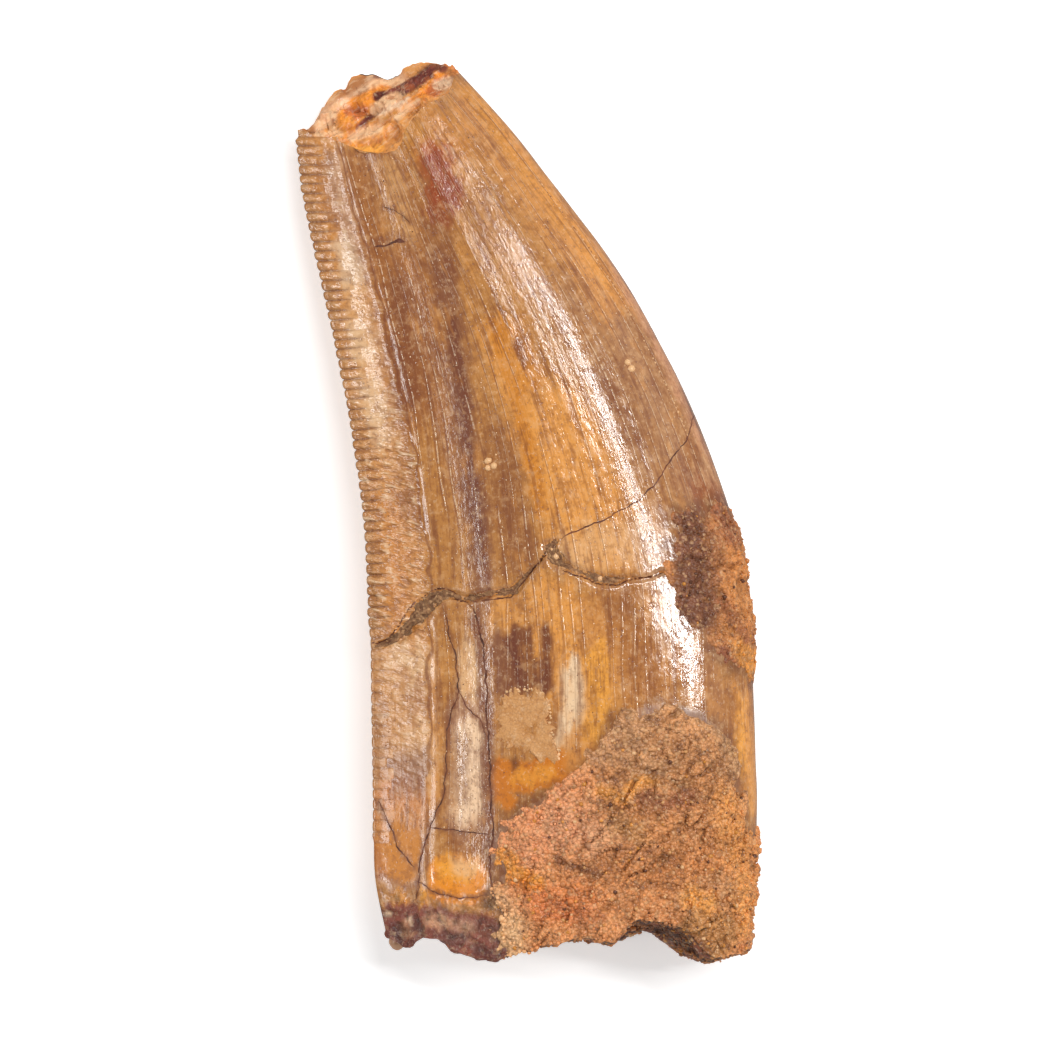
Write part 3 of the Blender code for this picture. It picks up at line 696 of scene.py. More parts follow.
def enamel_material():
    """Fossil enamel: painted stains, streaks and hairlines along the growth lines, pits, painted shade and highlight
    on the flange's wrinkles, and a soft gloss.
    """
    made, tree, shader = new_material("fossil_enamel", 0.2, Specular_IOR_Level=0.85)
    lines = attribute(tree, "growth", "Vector")
    body = millimetres(tree)
    colour = attribute(tree, "paint", "Color")
    flange = attribute(tree, "flange")
    pitted = attribute(tree, "pitted")
    raw = attribute(tree, "raw")
    calm = attribute(tree, "calm")
    lively = minus(tree, 1.0, calm)
    plain = minus(tree, 1.0, calc(tree, "MAXIMUM", calc(tree, "MAXIMUM", flange, raw), calm))

    broad = grainy(tree, lines, (2.2, 0.16, 1.0), 3.0, 0.6)
    fine = grainy(tree, lines, (8.0, 0.55, 1.0), 3.0, 0.6)
    patchy = grainy(tree, lines, (0.9, 0.30, 1.0), 4.0, 0.65)
    mottle = grainy(tree, body, (1.6, 1.6, 1.6), 4.0, 0.65)
    wrinkle = grainy(tree, turned_by(tree, lines, 24), (0.95, 2.5, 1.0), 2.2, 0.5)
    creases = attribute(tree, "creases")
    speck = grainy(tree, body, (5.0, 4.0, 5.0), 2.0)

    border = calc(tree, "ABSOLUTE", minus(tree, flange, 0.5))
    colour = weathered(
        tree, colour,
        (speck, 0.44, 0.30, 0.30, None, "dark brown"),
        (speck, 0.58, 0.72, 0.25, None, "cream"),
        (broad, 0.49, 0.35, 0.50, plain, "dark brown"),
        (patchy, 0.47, 0.34, 0.42, plain, "dark brown"),
        (patchy, 0.54, 0.68, 0.30, plain, "amber"),
        (fine, 0.55, 0.72, 0.25, plain, "pale tan"),
        (fine, 0.46, 0.32, 0.28, plain, "dark brown"),
        (mottle, 0.50, 0.36, 0.30, None, "dark brown"),
        (mottle, 0.52, 0.66, 0.25, lively, "pale tan"),
        # Painted shade in the hollows of the flange's wrinkles and painted highlight on their crests, in step with
        # their relief.
        (wrinkle, 0.48, 0.34, 0.75, creases, "brown"),
        (wrinkle, 0.54, 0.68, 0.50, times(tree, creases, lively), "cream"),
        (border, 0.30, 0.10, 0.55, None, "dark brown"),
    )

    across, length, side = node(tree, "ShaderNodeSeparateXYZ", {0: lines}).outputs
    sway = grainy(tree, lines, (0.25, 0.10, 1.0), 1.0)
    crowd = grainy(tree, lines, (0.7, 0.0, 0.0), 1.0)
    cell = summed(tree, (across, 1.55), (sway, 1.6), (crowd, 1.8))
    number = calc(tree, "FLOOR", cell)
    place = minus(tree, cell, number)
    spot = node(tree, "ShaderNodeCombineXYZ", {0: number, 1: length, 2: side}).outputs[0]
    lasting = stepped(tree, grainy(tree, spot, (5.3, 0.07, 1.0), 1.0), 0.47, 0.56)
    dotted = stepped(tree, grainy(tree, spot, (3.7, 3.4, 1.0), 1.0), 0.38, 0.54)
    pale_line = stepped(tree, calc(tree, "ABSOLUTE", minus(tree, place, 0.5)), 0.050, 0.018)
    dark_line = stepped(tree, calc(tree, "ABSOLUTE", minus(tree, place, 0.40)), 0.085, 0.030)
    lasting = times(tree, lasting, times(tree, plain, stepped(tree, length, 17.0, 24.0, 0.5, 1.0)))
    hair_share = times(tree, times(tree, pale_line, lasting), dotted)
    shade_share = times(tree, dark_line, lasting)
    colour = tinted(tree, colour, times(tree, shade_share, 0.45), "dark brown")
    colour = tinted(tree, colour, times(tree, hair_share, 0.50), "cream")

    pits = stepped(tree, summed(tree, (dotted_by(tree, body, 2.6), 1.0), (mottle, 0.25)), 0.30, 0.20)
    colour = tinted(tree, colour, times(tree, pits, 0.45), "dark brown")
    pocks = times(tree, stepped(tree, dotted_by(tree, body, 4.5), 0.36, 0.16), pitted)
    colour = tinted(tree, colour, times(tree, pocks, 0.35), "brown")
    tree.links.new(colour, shader.inputs["Base Color"])

    uneven = stepped(tree, mottle, 0.35, 0.65, 0.10, 0.20)
    dull = times(tree, attribute(tree, "dull"), lively)
    rough = summed(tree, (uneven, 1.0), (pits, 0.2), (dull, 0.30), (calm, -0.04))
    tree.links.new(rough, shader.inputs["Roughness"])

    ripple = grainy(tree, lines, (3.0, 1.6, 1.0), 3.0, 0.6)
    chips = grainy(tree, body, (2.4, 2.4, 2.4), 4.0, 0.7)
    height = summed(
        tree, (broad, 0.016), (fine, 0.004), (hair_share, 0.010), (ripple, 0.026),
        (times(tree, wrinkle, creases), 0.32), (pits, -0.02), (pocks, -0.03), (times(tree, chips, raw), 0.25),
    )
    height = times(tree, height, minus(tree, 1.0, times(tree, calm, 0.8)))
    bumped(tree, shader, height)
    return made


def gritty_material(name, roughness, relief, grain_size, light, dark="dark sand"):
    """Cemented sand or broken dentine: its paint, varied grain by grain, with the relief of packed grains and
    painted shade in the gaps between them.
    """
    made, tree, shader = new_material(name, roughness)
    body = millimetres(tree)
    colour = attribute(tree, "paint", "Color")
    coarse = grainy(tree, body, (1.5, 1.5, 1.5), 4.0, 0.7)
    fine = grainy(tree, body, (7.0, 7.0, 7.0), 3.0, 0.6)
    pebbles = node(tree, "ShaderNodeTexVoronoi", {"Vector": body, "Scale": 1 / grain_size})
    tint = node(tree, "ShaderNodeSeparateXYZ", {0: pebbles.outputs["Color"]}).outputs
    gap = pebbles.outputs["Distance"]
    colour = weathered(
        tree, colour,
        (coarse, 0.5, 0.34, 0.65, None, dark), (coarse, 0.54, 0.68, 0.35, None, light),
        (tint[0], 0.75, 1.0, 0.5, None, "pale tan"), (tint[1], 0.6, 1.0, 0.35, None, dark),
        # The last tint is painted shade: darker in the gaps between grains, where the relief sinks.
        (tint[2], 0.7, 1.0, 0.12, None, "golden"), (gap, 0.40, 0.80, 0.25, None, "dark brown"),
    )
    tree.links.new(colour, shader.inputs["Base Color"])
    dome = calc(tree, "POWER", gap, 2.0)
    bumped(tree, shader, summed(tree, (dome, -relief), (coarse, relief * 0.8), (fine, relief * 0.3)))
    return made


def dentine_material():
    """Broken dentine: its paint in fine slanting fibres, glossy, with splintered relief."""
    made, tree, shader = new_material("broken_dentine", 0.32)
    body = node(tree, "ShaderNodeTexCoord").outputs["Object"]
    fibre = grainy(tree, turned_by(tree, body, -36), (900.0, 4200.0, 2500.0), 3.0)
    coarse = node(tree, "ShaderNodeTexNoise", {"Vector": body, "Scale": 1500.0, "Detail": 4.0}).outputs["Fac"]
    colour = weathered(
        tree, attribute(tree, "paint", "Color"),
        (fibre, 0.45, 0.38, 0.25, None, "red brown"), (fibre, 0.55, 0.62, 0.30, None, "white"),
        (coarse, 0.45, 0.34, 0.40, None, "orange brown"),
    )
    tree.links.new(colour, shader.inputs["Base Color"])
    bumped(tree, shader, summed(tree, (fibre, 0.06), (coarse, 0.08)))
    return made


def plain_material(name, roughness):
    """A finish that takes its colour from the piece's paint alone, with a little uneven gloss."""
    made, tree, shader = new_material(name, roughness)
    body = node(tree, "ShaderNodeTexCoord").outputs["Object"]
    wear = grainy(tree, body, (3000.0, 3000.0, 3000.0), 2.0)
    tree.links.new(attribute(tree, "paint", "Color"), shader.inputs["Base Color"])
    tree.links.new(stepped(tree, wear, 0.3, 0.7, roughness * 0.7, roughness * 1.2), shader.inputs["Roughness"])
    return made


def dressed(obj, material, slot, *nodes):
    """Gives a piece its finish and its body, and hides the CAD nodes that it stands for."""
    obj.data.materials.append(material)
    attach(obj, "root")
    if nodes:
        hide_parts(*nodes)
    return obj


def crown_columns(near_count, far_count):
    """The places round a section, closer together at the mesial edge, as (s, near)."""
    t = np.linspace(0, 1, near_count + 1)
    over = 0.45 * t + 0.55 * np.sin(np.pi / 2 * t)
    t = np.linspace(0, 1, far_count + 1)
    under = (0.45 * t + 0.55 * np.sin(np.pi / 2 * t))[::-1]
    s = np.concatenate([over, under[1:]])
    return s, np.arange(len(s)) <= near_count


def crown_relief(points, s, v, near):
    """How far the crown's fine surface stands out from the plain one, in millimetres."""
    lines = growth(s, v, near)
    out = 0.05 * noise(lines, (2.4, 40.0, 1.0), 7) + 0.018 * noise(lines, (0.8, 22.0, 1.0), 8)
    out = out + 0.03 * noise(points, 3.0, 9)
    out = out - 0.05 * bell(s, flange_edge(v), 0.008) * near
    ragged = points[..., :2].reshape(-1, 2)
    ragged = ragged + 0.10 * np.stack([noise(points, 0.5, 21), noise(points, 0.5, 22)], axis=-1).reshape(-1, 2)
    away, _ = path_distance(ragged, plan(((469, 728), (467, 812))))
    out = out + 0.10 * bell(away, 0, 0.9).reshape(v.shape) * near
    groove = np.zeros(v.shape)
    for route in (BREAK, BRANCH):
        path = np.array(route, float)
        away, place = path_distance(ragged, plan(path[:, :2]))
        half = np.interp(place, np.linspace(0, 1, len(path)), path[:, 2])
        groove = np.maximum(groove, (1 - ramp(away / half, 0.6, 1.3)).reshape(v.shape))
    out = out - BREAK_DEPTH * groove * np.where(near, 1.0, 0.6 * (s < 0.12))
    worn = ramp(0.062 + 0.02 * noise(points, 1.5, 25) - v, 0.0, 0.02) * (s < 0.5)
    return out + worn * (0.30 * rugged(points) - 0.12)


def rugged(points):
    """Lumps with sharp hollows between them, from about -1 to 1."""
    lumps = 1 - 2 * np.abs(noise(points, 1.1, 23)) + 0.6 * (1 - 2 * np.abs(noise(points, 0.5, 26)))
    return 0.7 * lumps - 0.45 + 0.5 * noise(points, 0.25, 24)


def make_crown():
    """The enamelled crown, between its two broken ends. Returns the piece and its rims for the ends."""
    rows, near_count, far_count = 330, 176, 78
    s, near = crown_columns(near_count, far_count)
    base, tip = end_places(s, near)
    share = np.linspace(0, 1, rows + 1)[:, None]
    v = base + (tip - base) * share
    s_all = np.broadcast_to(s, v.shape)
    near_all = np.broadcast_to(near, v.shape)
    points = crown_point(s_all, near_all, v)
    normals = grid_normals(points, True)
    flat_edge = ramp(s_all, 0.0, 0.02)[..., None]
    points = points + normals * crown_relief(points, s_all, v, near_all)[..., None] * flat_edge
    lines = growth(s_all, v, near_all).reshape(-1, 3)
    flat = points.reshape(-1, 3)
    colour = crown_colour(flat, lines, near_all.ravel())
    torn = 0.5 * noise(flat, 0.7, 34)
    stain = np.maximum(
        ramp(crust_cover(flat, *BASE_CRUST) + torn, -0.8, 0.3),
        ramp(crust_cover(flat, *MESIAL_CRUST) + torn, -1.0, 0.3),
    )
    colour += (linear(PALETTE["dark sand"]) - colour) * (0.7 * stain)[:, None]
    masks = crown_masks(flat, s_all.ravel(), v.ravel(), near_all.ravel())
    # Painted shade and light in the raw zone: darker in the low places of its rugged relief, lighter on its lumps.
    hollow = ramp(rugged(flat), -0.6, 0.7) * 0.9 + 0.45
    colour *= (1 + (hollow - 1) * masks["raw"])[:, None]
    faces = grid_faces(rows + 1, len(s), True)
    crown = mesh_object("crown", flat, faces, colour, lines, masks)
    return crown, points, s, near_count


def crown_colour(points, lines, near):
    comb = noise(lines * (1.0, 0.02, 1.0), (0.35, 1.0, 1.0), 10)
    rims = tuple(("plum grey", 1.5, 3, 0.75, path) for half, path in CRACKS if half < 0.04)
    front = painted(points, "khaki", STAINS + rims, comb)
    back = painted(points, "khaki", FAR_STAINS, comb)
    return np.where(near[:, None], front, back)


def crown_masks(points, s, v, near):
    """Where the flange, its creases, the pocked patch, the dull, raw and calm stretches are, from 0 to 1."""
    torn = 0.02 * noise(points, 1.5, 31)
    flange = (1 - ramp(s + torn, flange_edge(v) - 0.015, flange_edge(v) + 0.01)) * ramp(v, 0.10, 0.30)
    away, _ = path_distance(points[:, :2], plan(((472, 735), (474, 780), (468, 820))))
    pitted = (1 - ramp(away, 0.8, 1.5)) * near
    crust = crust_cover(points, *BASE_CRUST)
    worn = ramp(0.39 - v, 0.0, 0.03) * (1 - ramp(s + torn, 0.16, 0.20))
    band = 1 - ramp(s + torn, flange_edge(v) - 0.01, flange_edge(v) + 0.03)
    worn = np.maximum(worn * 0.2, band * (0.15 + 0.2 * ramp(0.62 - v, 0.0, 0.1)))
    dull = np.maximum(np.maximum(ramp(crust, -0.2, 0.3), 0.3 * ramp(0.10 - v, 0.0, 0.06)), 0.9 * worn) * near
    raw = ramp(0.050 + 0.015 * noise(points, 1.2, 32) - v, 0.0, 0.010) * (s < 0.5)
    calm = np.zeros(len(points))
    for radius, path in CALM_PANELS:
        away, _ = path_distance(points[:, :2], plan(path))
        calm = np.maximum(calm, 1 - ramp(away * PIXELS_PER_MM, radius - 2, radius + 5))
    creases = flange * (0.35 + 0.65 * ramp(0.70 - v, 0.0, 0.12) - 0.5 * ramp(0.37 - v, 0.0, 0.02)) * (1 - raw)
    return {"flange": flange * (1 - raw), "pitted": pitted, "dull": np.maximum(dull, 0.3 * raw), "raw": raw,
            "creases": creases, "calm": calm * near}


def cap_grid(points, s, near_count, row, rows):
    """A grid from the near rim to the far rim of a broken end, and each point's share of the way."""
    near_rim, s_near = points[row, :near_count + 1], s[:near_count + 1]
    far_rim, s_far = points[row, near_count:][::-1], s[near_count:][::-1]
    opposite = np.stack([np.interp(s_near, s_far, far_rim[:, k]) for k in range(3)], axis=-1)
    t = np.linspace(0, 1, rows)[:, None, None]
    return near_rim + (opposite - near_rim) * t, t[..., 0], s_near


def make_broken_tip(points, s, near_count):
    """The slanting break at the tip: ledges of dentine between the two rims of enamel."""
    grid, t, across = cap_grid(points, s, near_count, -1, 84)
    fine = np.linspace(0, len(across) - 1, 230)
    columns = np.arange(len(across))
    grid = np.stack([
        np.stack([np.interp(fine, columns, grid[r, :, k]) for k in range(3)], axis=-1) for r in range(len(grid))
    ])
    normals = grid_normals(grid, False)
    ledge = noise(grid, (1.9, 1.1, 1.1), 41)
    relief = 0.50 * np.round(ledge * 3) / 3 + 0.35 * ledge
    relief = relief + 0.22 * noise(grid, 0.7, 42) + 0.10 * noise(grid, 0.3, 43)
    relief = relief + 0.05 * noise(grid, 0.14, 44) - 0.15
    window = ramp(t, 0.0, 0.10) * ramp(1 - t, 0.0, 0.25)
    sides = ramp(fine / fine[-1], 0.0, 0.05) * ramp(1 - fine / fine[-1], 0.0, 0.05)
    grid = grid + normals * (relief * window * sides)[..., None]
    flat = grid.reshape(-1, 3)
    colour = painted(flat, "tan", TIP_STAINS, tear=0.4)
    # Painted shade: darker in the low places between the ledges, lighter on their tops.
    ledge_shade = (relief * window).reshape(-1)
    colour *= (0.98 + 0.40 * ramp(ledge_shade, -0.5, 0.4))[:, None]
    faces = grid_faces(grid.shape[0], grid.shape[1], False)
    return mesh_object("broken_tip", flat, faces, colour)


def make_broken_base(points, s, near_count):
    """The ragged break at the base, dark under the enamel at the distal side."""
    grid, t, _ = cap_grid(points, s, near_count, 0, 90)
    normals = -grid_normals(grid, False)
    ledge = noise(grid, (2.2, 1.4, 1.4), 51)
    relief = 0.45 * np.round(ledge * 3) / 3 + 0.3 * ledge
    relief = relief + 0.25 * noise(grid, 0.8, 52) + 0.1 * noise(grid, 0.35, 53)
    relief = relief - 0.55 * np.sin(np.pi * t)
    window = np.sqrt(np.clip(4 * t * (1 - t), 0, 1))
    grid = grid + normals * (relief * window)[..., None]
    flat = grid.reshape(-1, 3)
    colour = painted(flat, "dark brown", (("plum", 60, 40, 0.8, ((390, 930), (480, 945))),))
    # Painted shade: darker in the low places of the relief, lighter on the ledges.
    colour *= (0.75 + 0.5 * ramp(relief.reshape(-1), -0.8, 0.4))[:, None]
    faces = grid_faces(grid.shape[0], grid.shape[1], False, flip=True)
    return mesh_object("broken_base", flat, faces, colour)


def make_serrations():
    """The serrated edge: a fine strip over both faces, with a ridge for each denticle that fades inward."""
    chance = np.random.default_rng(5)
    length = edge_length(DISTAL_EDGE)
    grooves = [DENTICLE_FIRST]
    while grooves[-1] < DENTICLE_LAST:
        pitch = float(smooth(DENTICLE_SPACING, grooves[-1])) * chance.uniform(0.92, 1.08)
        grooves.append(grooves[-1] + pitch / length)
    grooves = np.array(grooves)
    count = len(grooves) - 1
    v = np.arange(grooves[0], grooves[-1], 0.045 / length)[:, None]
    own = np.clip(np.searchsorted(grooves, v, side="right") - 1, 0, count - 1)
    place = 2 * (v - grooves[own]) / (grooves[own + 1] - grooves[own]) - 1
    ridge = np.sqrt(np.clip(1 - np.abs(place) ** 2.6, 0, 1))
    bold = 0.2 + 0.8 * ramp(v, WORN_BELOW - 0.02, WORN_BELOW + 0.02)
    ends = ramp(v, grooves[0], grooves[0] + 0.01) * ramp(grooves[-1] - v, 0.0, 0.006)
    rise = DENTICLE_RISE * chance.uniform(0.8, 1.15, count)[own] * bold * ends * ridge
    reach = 0.02 + DENTICLE_REACH * chance.uniform(0.85, 1.1, count)[own] * (0.3 + 0.7 * bold) * ends * ridge
    finger = chance.uniform(1.2, 2.0, count)[own] * (0.6 + 0.4 * bold)

    far_in, near_in = np.linspace(1.6, 0.0, 12), np.linspace(0.0, 2.1, 26) ** 1.15
    nose = np.linspace(math.pi, 0, 13)[1:-1]
    inward = np.concatenate([far_in, np.zeros(len(nose)), near_in])[None, :]
    turn = np.concatenate([np.full(12, math.pi), nose, np.zeros(26)])[None, :]
    near = np.broadcast_to(np.arange(inward.size) >= 12 + len(nose) // 2, (len(v), inward.size))
    span = along(MESIAL_EDGE, v[:, 0]) - along(DISTAL_EDGE, v[:, 0])
    lean = smooth(DENTICLE_LEAN, v[:, 0]) - span[:, 1] / span[:, 0]
    v_all = v + inward * lean[:, None] / length
    s_all = inward / span[:, :1]
    points = crown_point(s_all, near, v_all)
    relief = crown_relief(points, s_all, v_all, near) * ramp(s_all, 0.0, 0.02)
    points = points + grid_normals(points, False) * relief[..., None]
    middle = smooth(MIDDLE_HEIGHT, v)
    fade = 1 - ramp(inward, 0.45 * finger, finger)
    lift = 0.012 + rise * fade - 0.07 * ramp(inward, 0.9 * finger, 1.15 * finger)
    on_nose = (turn > 0) & (turn < math.pi)
    nose_height = middle + (EDGE_HALF_THICKNESS + lift) * np.cos(turn)
    points[..., 2] = np.where(on_nose, nose_height, points[..., 2] + np.where(near, lift, -lift))
    points[..., 0] -= reach * np.sin(turn) ** 0.8

    lines = growth(s_all, v_all, near).reshape(-1, 3)
    flat = points.reshape(-1, 3)
    colour = crown_colour(flat, lines, near.ravel())
    # Painted shade: each ridge is darker on its flanks than on its crest, and darkest in the grooves between ridges,
    # fading inward.
    groove = ((1 - ridge) ** 1.3 * fade * (0.25 + 0.75 * bold)).reshape(-1, 1)
    colour = colour * (1 - ((0.30 - 0.26 * ridge) * fade).reshape(-1, 1))
    colour += (linear(PALETTE["dark brown"]) * 0.8 - colour) * 0.95 * groove
    masks = crown_masks(flat, s_all.ravel(), v_all.ravel(), near.ravel())
    masks["flange"], masks["creases"] = np.ones(len(flat)), np.maximum(masks["creases"], 0.2)
    masks["dull"] = np.maximum(masks["dull"], (0.5 * (1 - bold)).repeat(near.shape[1]))
    masks["calm"] = masks["calm"] * 0.2
    return mesh_object("serrations", flat, grid_faces(*near.shape, False), colour, lines, masks)


def crust_mesh(outline, lean, stains, ground, spans, seed, rise, lumps):
    """A crust of sand as a finer skin over the crown, which dips under it past the crust's ragged border.

    Spans are the v, the near and the far s that it covers, then its rows and its near and far columns.
    """
    v_span, near_span, far_span, rows, near_count, far_count = spans
    over = np.linspace(near_span[0], near_span[1], near_count + 1)
    over = 0.5 * over + 0.5 * np.sin(np.pi / 2 * over) if near_span[1] == 1 else over
    under = np.linspace(far_span[1], far_span[0], far_count + 1)
    under = 0.5 * under + 0.5 * np.sin(np.pi / 2 * under)
    s = np.concatenate([over, under[1:]])
    near = np.arange(len(s)) <= near_count
    base, _ = end_places(s, near)
    low = base if v_span[0] is None else np.full(len(s), v_span[0])
    v = low + (v_span[1] - low) * np.linspace(0, 1, rows + 1)[:, None]
    s_all, near_all = np.broadcast_to(s, v.shape), np.broadcast_to(near, v.shape)
    points = crown_point(s_all, near_all, v)
    normals = grid_normals(points, False)
    flat = points.reshape(-1, 3)
    cover = crust_cover(flat, outline, lean) + 0.7 * noise(flat, 1.7, seed) + 0.4 * noise(flat, 0.6, seed + 1)
    slant = flat @ np.array(((0.8, 0.6, 0.0), (-0.6, 0.8, 0.0), (0.0, 0.0, 1.0)))
    crevice = 1 - ramp(np.abs(noise(slant, (1.3, 3.0, 1.6), seed + 5)), 0.0, 0.16)
    crevice *= ramp(noise(flat, 2.5, seed + 6), -0.25, 0.25)
    body = 0.45 * noise(flat, 2.0, seed + 2) + 0.40 * noise(flat, 0.7, seed + 3)
    body = body + 0.25 * noise(flat, 0.33, seed + 4)
    body = np.clip(rise + lumps * (0.2 + body - 1.1 * crevice), -0.05, rise + lumps * 0.9)
    body = np.maximum(body, 0.05)
    thickness = -0.25 + ramp(cover, -0.2, 0.35) * (0.25 + body * (0.25 + 0.75 * ramp(cover, 0.0, 1.8)) + 0.03)
    grid = points + normals * thickness.reshape(v.shape)[..., None]
    faces = grid_faces(rows + 1, len(s), False)
    kept = (cover[faces] > -0.35).any(axis=1)
    flat = grid.reshape(-1, 3)
    colour = painted(flat, ground, stains)
    # Painted shade and light: darker in the crevices and low places of the crust's relief, lighter on its lumps.
    colour *= (1.07 + 1.0 * ramp(body, rise - lumps * 0.5, rise + lumps * 0.7))[:, None]
    return flat, faces[kept], colour, grid


def make_base_crust():
    """The crust of the lower right corner, with its cover of the broken base."""
    near_count = 170
    spans = ((None, 0.37), (0.22, 1.0), (0.08, 1.0), 180, near_count, 96)
    flat, faces, colour, grid = crust_mesh(
        *BASE_CRUST, CRUST_STAINS, "cinnamon", spans, seed=61, rise=0.18, lumps=0.50
    )
    near_rim, far_rim = grid[0, :near_count + 1], grid[0, near_count:][::-1]
    share, share_far = np.linspace(0, 1, len(near_rim)), np.linspace(0, 1, len(far_rim))
    opposite = np.stack([np.interp(share, share_far, far_rim[:, k]) for k in range(3)], axis=-1)
    t = np.linspace(0, 1, 70)[:, None, None]
    cap = near_rim + (opposite - near_rim) * t
    cap[..., 1] -= cap_depth(cap, t)
    cap_flat = cap.reshape(-1, 3)
    cap_cover = crust_cover(cap_flat, *BASE_CRUST) + 0.4 * noise(cap_flat, 0.9, 61)
    cap_faces = grid_faces(cap.shape[0], cap.shape[1], False, flip=True)
    cap_faces = cap_faces[(cap_cover[cap_faces] > 0).any(axis=1)]
    # Painted shade: the crust over the broken base, in the recess under the tooth, is painted darker.
    cap_colour = painted(cap_flat, "dark sand", CRUST_STAINS[-4:]) * 0.7
    points = np.vstack([flat, cap_flat])
    faces = np.vstack([faces, cap_faces + len(flat)])
    return mesh_object("base_crust", points, faces, np.vstack([colour, cap_colour]))


def cap_depth(cap, t):
    """How far the crust on the broken base stands out from the straight line between its rims."""
    window = np.sqrt(np.clip(4 * t[..., 0] * (1 - t[..., 0]), 0, 1))
    lumps = 0.35 * noise(cap, 1.8, 71) + 0.2 * noise(cap, 0.7, 72) + 0.08 * noise(cap, 0.3, 73)
    return window * (0.1 + lumps)


def make_mesial_crust():
    """The dark gritty crust on the mesial edge."""
    spans = ((0.27, 0.54), (0.64, 1.0), (0.72, 1.0), 150, 110, 70)
    flat, faces, colour, _ = crust_mesh(
        *MESIAL_CRUST, MESIAL_STAINS, "brown", spans, seed=81, rise=0.14, lumps=0.40
    )
    return mesh_object("mesial_crust", flat, faces, colour)


def pebble_shape(subdivisions):
    """The corners and faces of a round pebble, one millimetre in radius."""
    bm = bmesh.new()
    bmesh.ops.create_icosphere(bm, subdivisions=subdivisions, radius=1.0)
    corners = np.array([v.co[:] for v in bm.verts])
    faces = np.array([[v.index for v in f.verts] for f in bm.faces])
    bm.free()
    return corners, faces


def scatter_grains(name, centres, normals, sizes, colours, seed, subdivisions=1):
    """Many grains of sand as one joined mesh, each squashed and turned its own way."""
    corners, faces = pebble_shape(subdivisions)
    chance = np.random.default_rng(seed)
    count = len(centres)
    spin = chance.normal(size=(count, 3, 3))
    turn, _ = np.linalg.qr(spin)
    squash = chance.uniform(0.65, 1.15, (count, 1, 3))
    dents = 1 + 0.12 * noise(corners[None] + 9.0 * np.arange(count)[:, None, None], 0.7, seed)[..., None]
    shaped = (corners[None] * squash * dents) @ turn
    sunk = normals[:, None] * (sizes * -0.2)[:, None, None]
    points = centres[:, None] + shaped * sizes[:, None, None] + sunk
    all_faces = (faces[None] + (np.arange(count) * len(corners))[:, None, None]).reshape(-1, 3)
    colour = np.repeat(colours, len(corners), axis=0)
    return mesh_object(name, points.reshape(-1, 3), all_faces, colour)


def grain_colours(centres, ground, stains, names, chance):
    """Mostly the colour of the crust around each grain, with some grains of other colours."""
    local = painted(centres, ground, stains) * chance.uniform(0.8, 1.6, (len(centres), 1))
    picks = np.array([linear(PALETTE[n]) for n in names])[chance.integers(0, len(names), len(centres))]
    return np.where(chance.random((len(centres), 1)) < 0.10, picks, local)


def sample_surface(obj, count, seed, keep):
    """Random points on a piece, as (centres, normals) in millimetres before the move to the origin.

    Keep gives each centre's share of the points, for the same area.
    """
    mesh = obj.data
    centres = np.empty(len(mesh.polygons) * 3)
    normals = np.empty(len(mesh.polygons) * 3)
    areas = np.empty(len(mesh.polygons))
    mesh.polygons.foreach_get("center", centres)
    mesh.polygons.foreach_get("normal", normals)
    mesh.polygons.foreach_get("area", areas)
    centres, normals = centres.reshape(-1, 3) / MM - TO_ORIGIN, normals.reshape(-1, 3)
    weight = areas * keep(centres)
    chance = np.random.default_rng(seed)
    picks = chance.choice(len(areas), count, p=weight / weight.sum())
    jitter = chance.normal(scale=0.04, size=(count, 3))
    return centres[picks] + jitter, normals[picks]


def base_grains(crust, chance):
    def keep(centres):
        thinned = 1 - 0.7 * ramp(centres[:, 1], -19.5, -17.0)
        return (crust_cover(centres, *BASE_CRUST) > -0.3) * thinned + 0.02

    centres, normals = sample_surface(crust, 8200, 34, keep)
    sizes = chance.gamma(5.0, 0.018, len(centres)) + 0.03
    names = ("pale tan", "amber", "tan", "dark sand", "golden")
    colours = grain_colours(centres, "cinnamon", CRUST_STAINS, names, chance)
    return scatter_grains("base_grains", centres, normals, sizes, colours, 35)


def mesial_grains(crust, chance):
    def keep(centres):
        return (crust_cover(centres, *MESIAL_CRUST) > -0.3) + 0.02

    centres, normals = sample_surface(crust, 1000, 36, keep)
    sizes = chance.gamma(5.0, 0.014, len(centres)) + 0.025
    names = ("golden", "caramel", "dark sand", "brown")
    colours = grain_colours(centres, "brown", MESIAL_STAINS, names, chance)
    return scatter_grains("mesial_grains", centres, normals, sizes, colours, 37)


class Ground:
    """Finds the surface of the crown under a place in plan."""

    def __init__(self, *pieces):
        self.trees = []
        for piece in pieces:
            mesh = piece.data
            points = np.empty(len(mesh.vertices) * 3)
            mesh.vertices.foreach_get("co", points)
            points = points.reshape(-1, 3) / MM - TO_ORIGIN
            self.trees.append(BVHTree.FromPolygons(points.tolist(), [tuple(p.vertices) for p in mesh.polygons]))

    def at(self, x, y):
        """The highest point under a place, and its normal; None where there is nothing."""
        best = None
        for tree in self.trees:
            place, normal, _, _ = tree.ray_cast(Vector((x, y, 40)), Vector((0, 0, -1)))
            if place is not None and (best is None or place.z > best[0].z):
                best = (place, normal)
        return best


def resampled(path, spacing):
    """Points at an even spacing on straight runs between a path's points."""
    path = np.asarray(path, float)
    reached = np.concatenate([[0], np.cumsum(np.hypot(*np.diff(path[:, :2], axis=0).T))])
    at = np.linspace(0, reached[-1], max(int(reached[-1] / spacing), 2))
    even = np.stack([np.interp(at, reached, column) for column in path.T], axis=-1)
    return even, at / reached[-1]


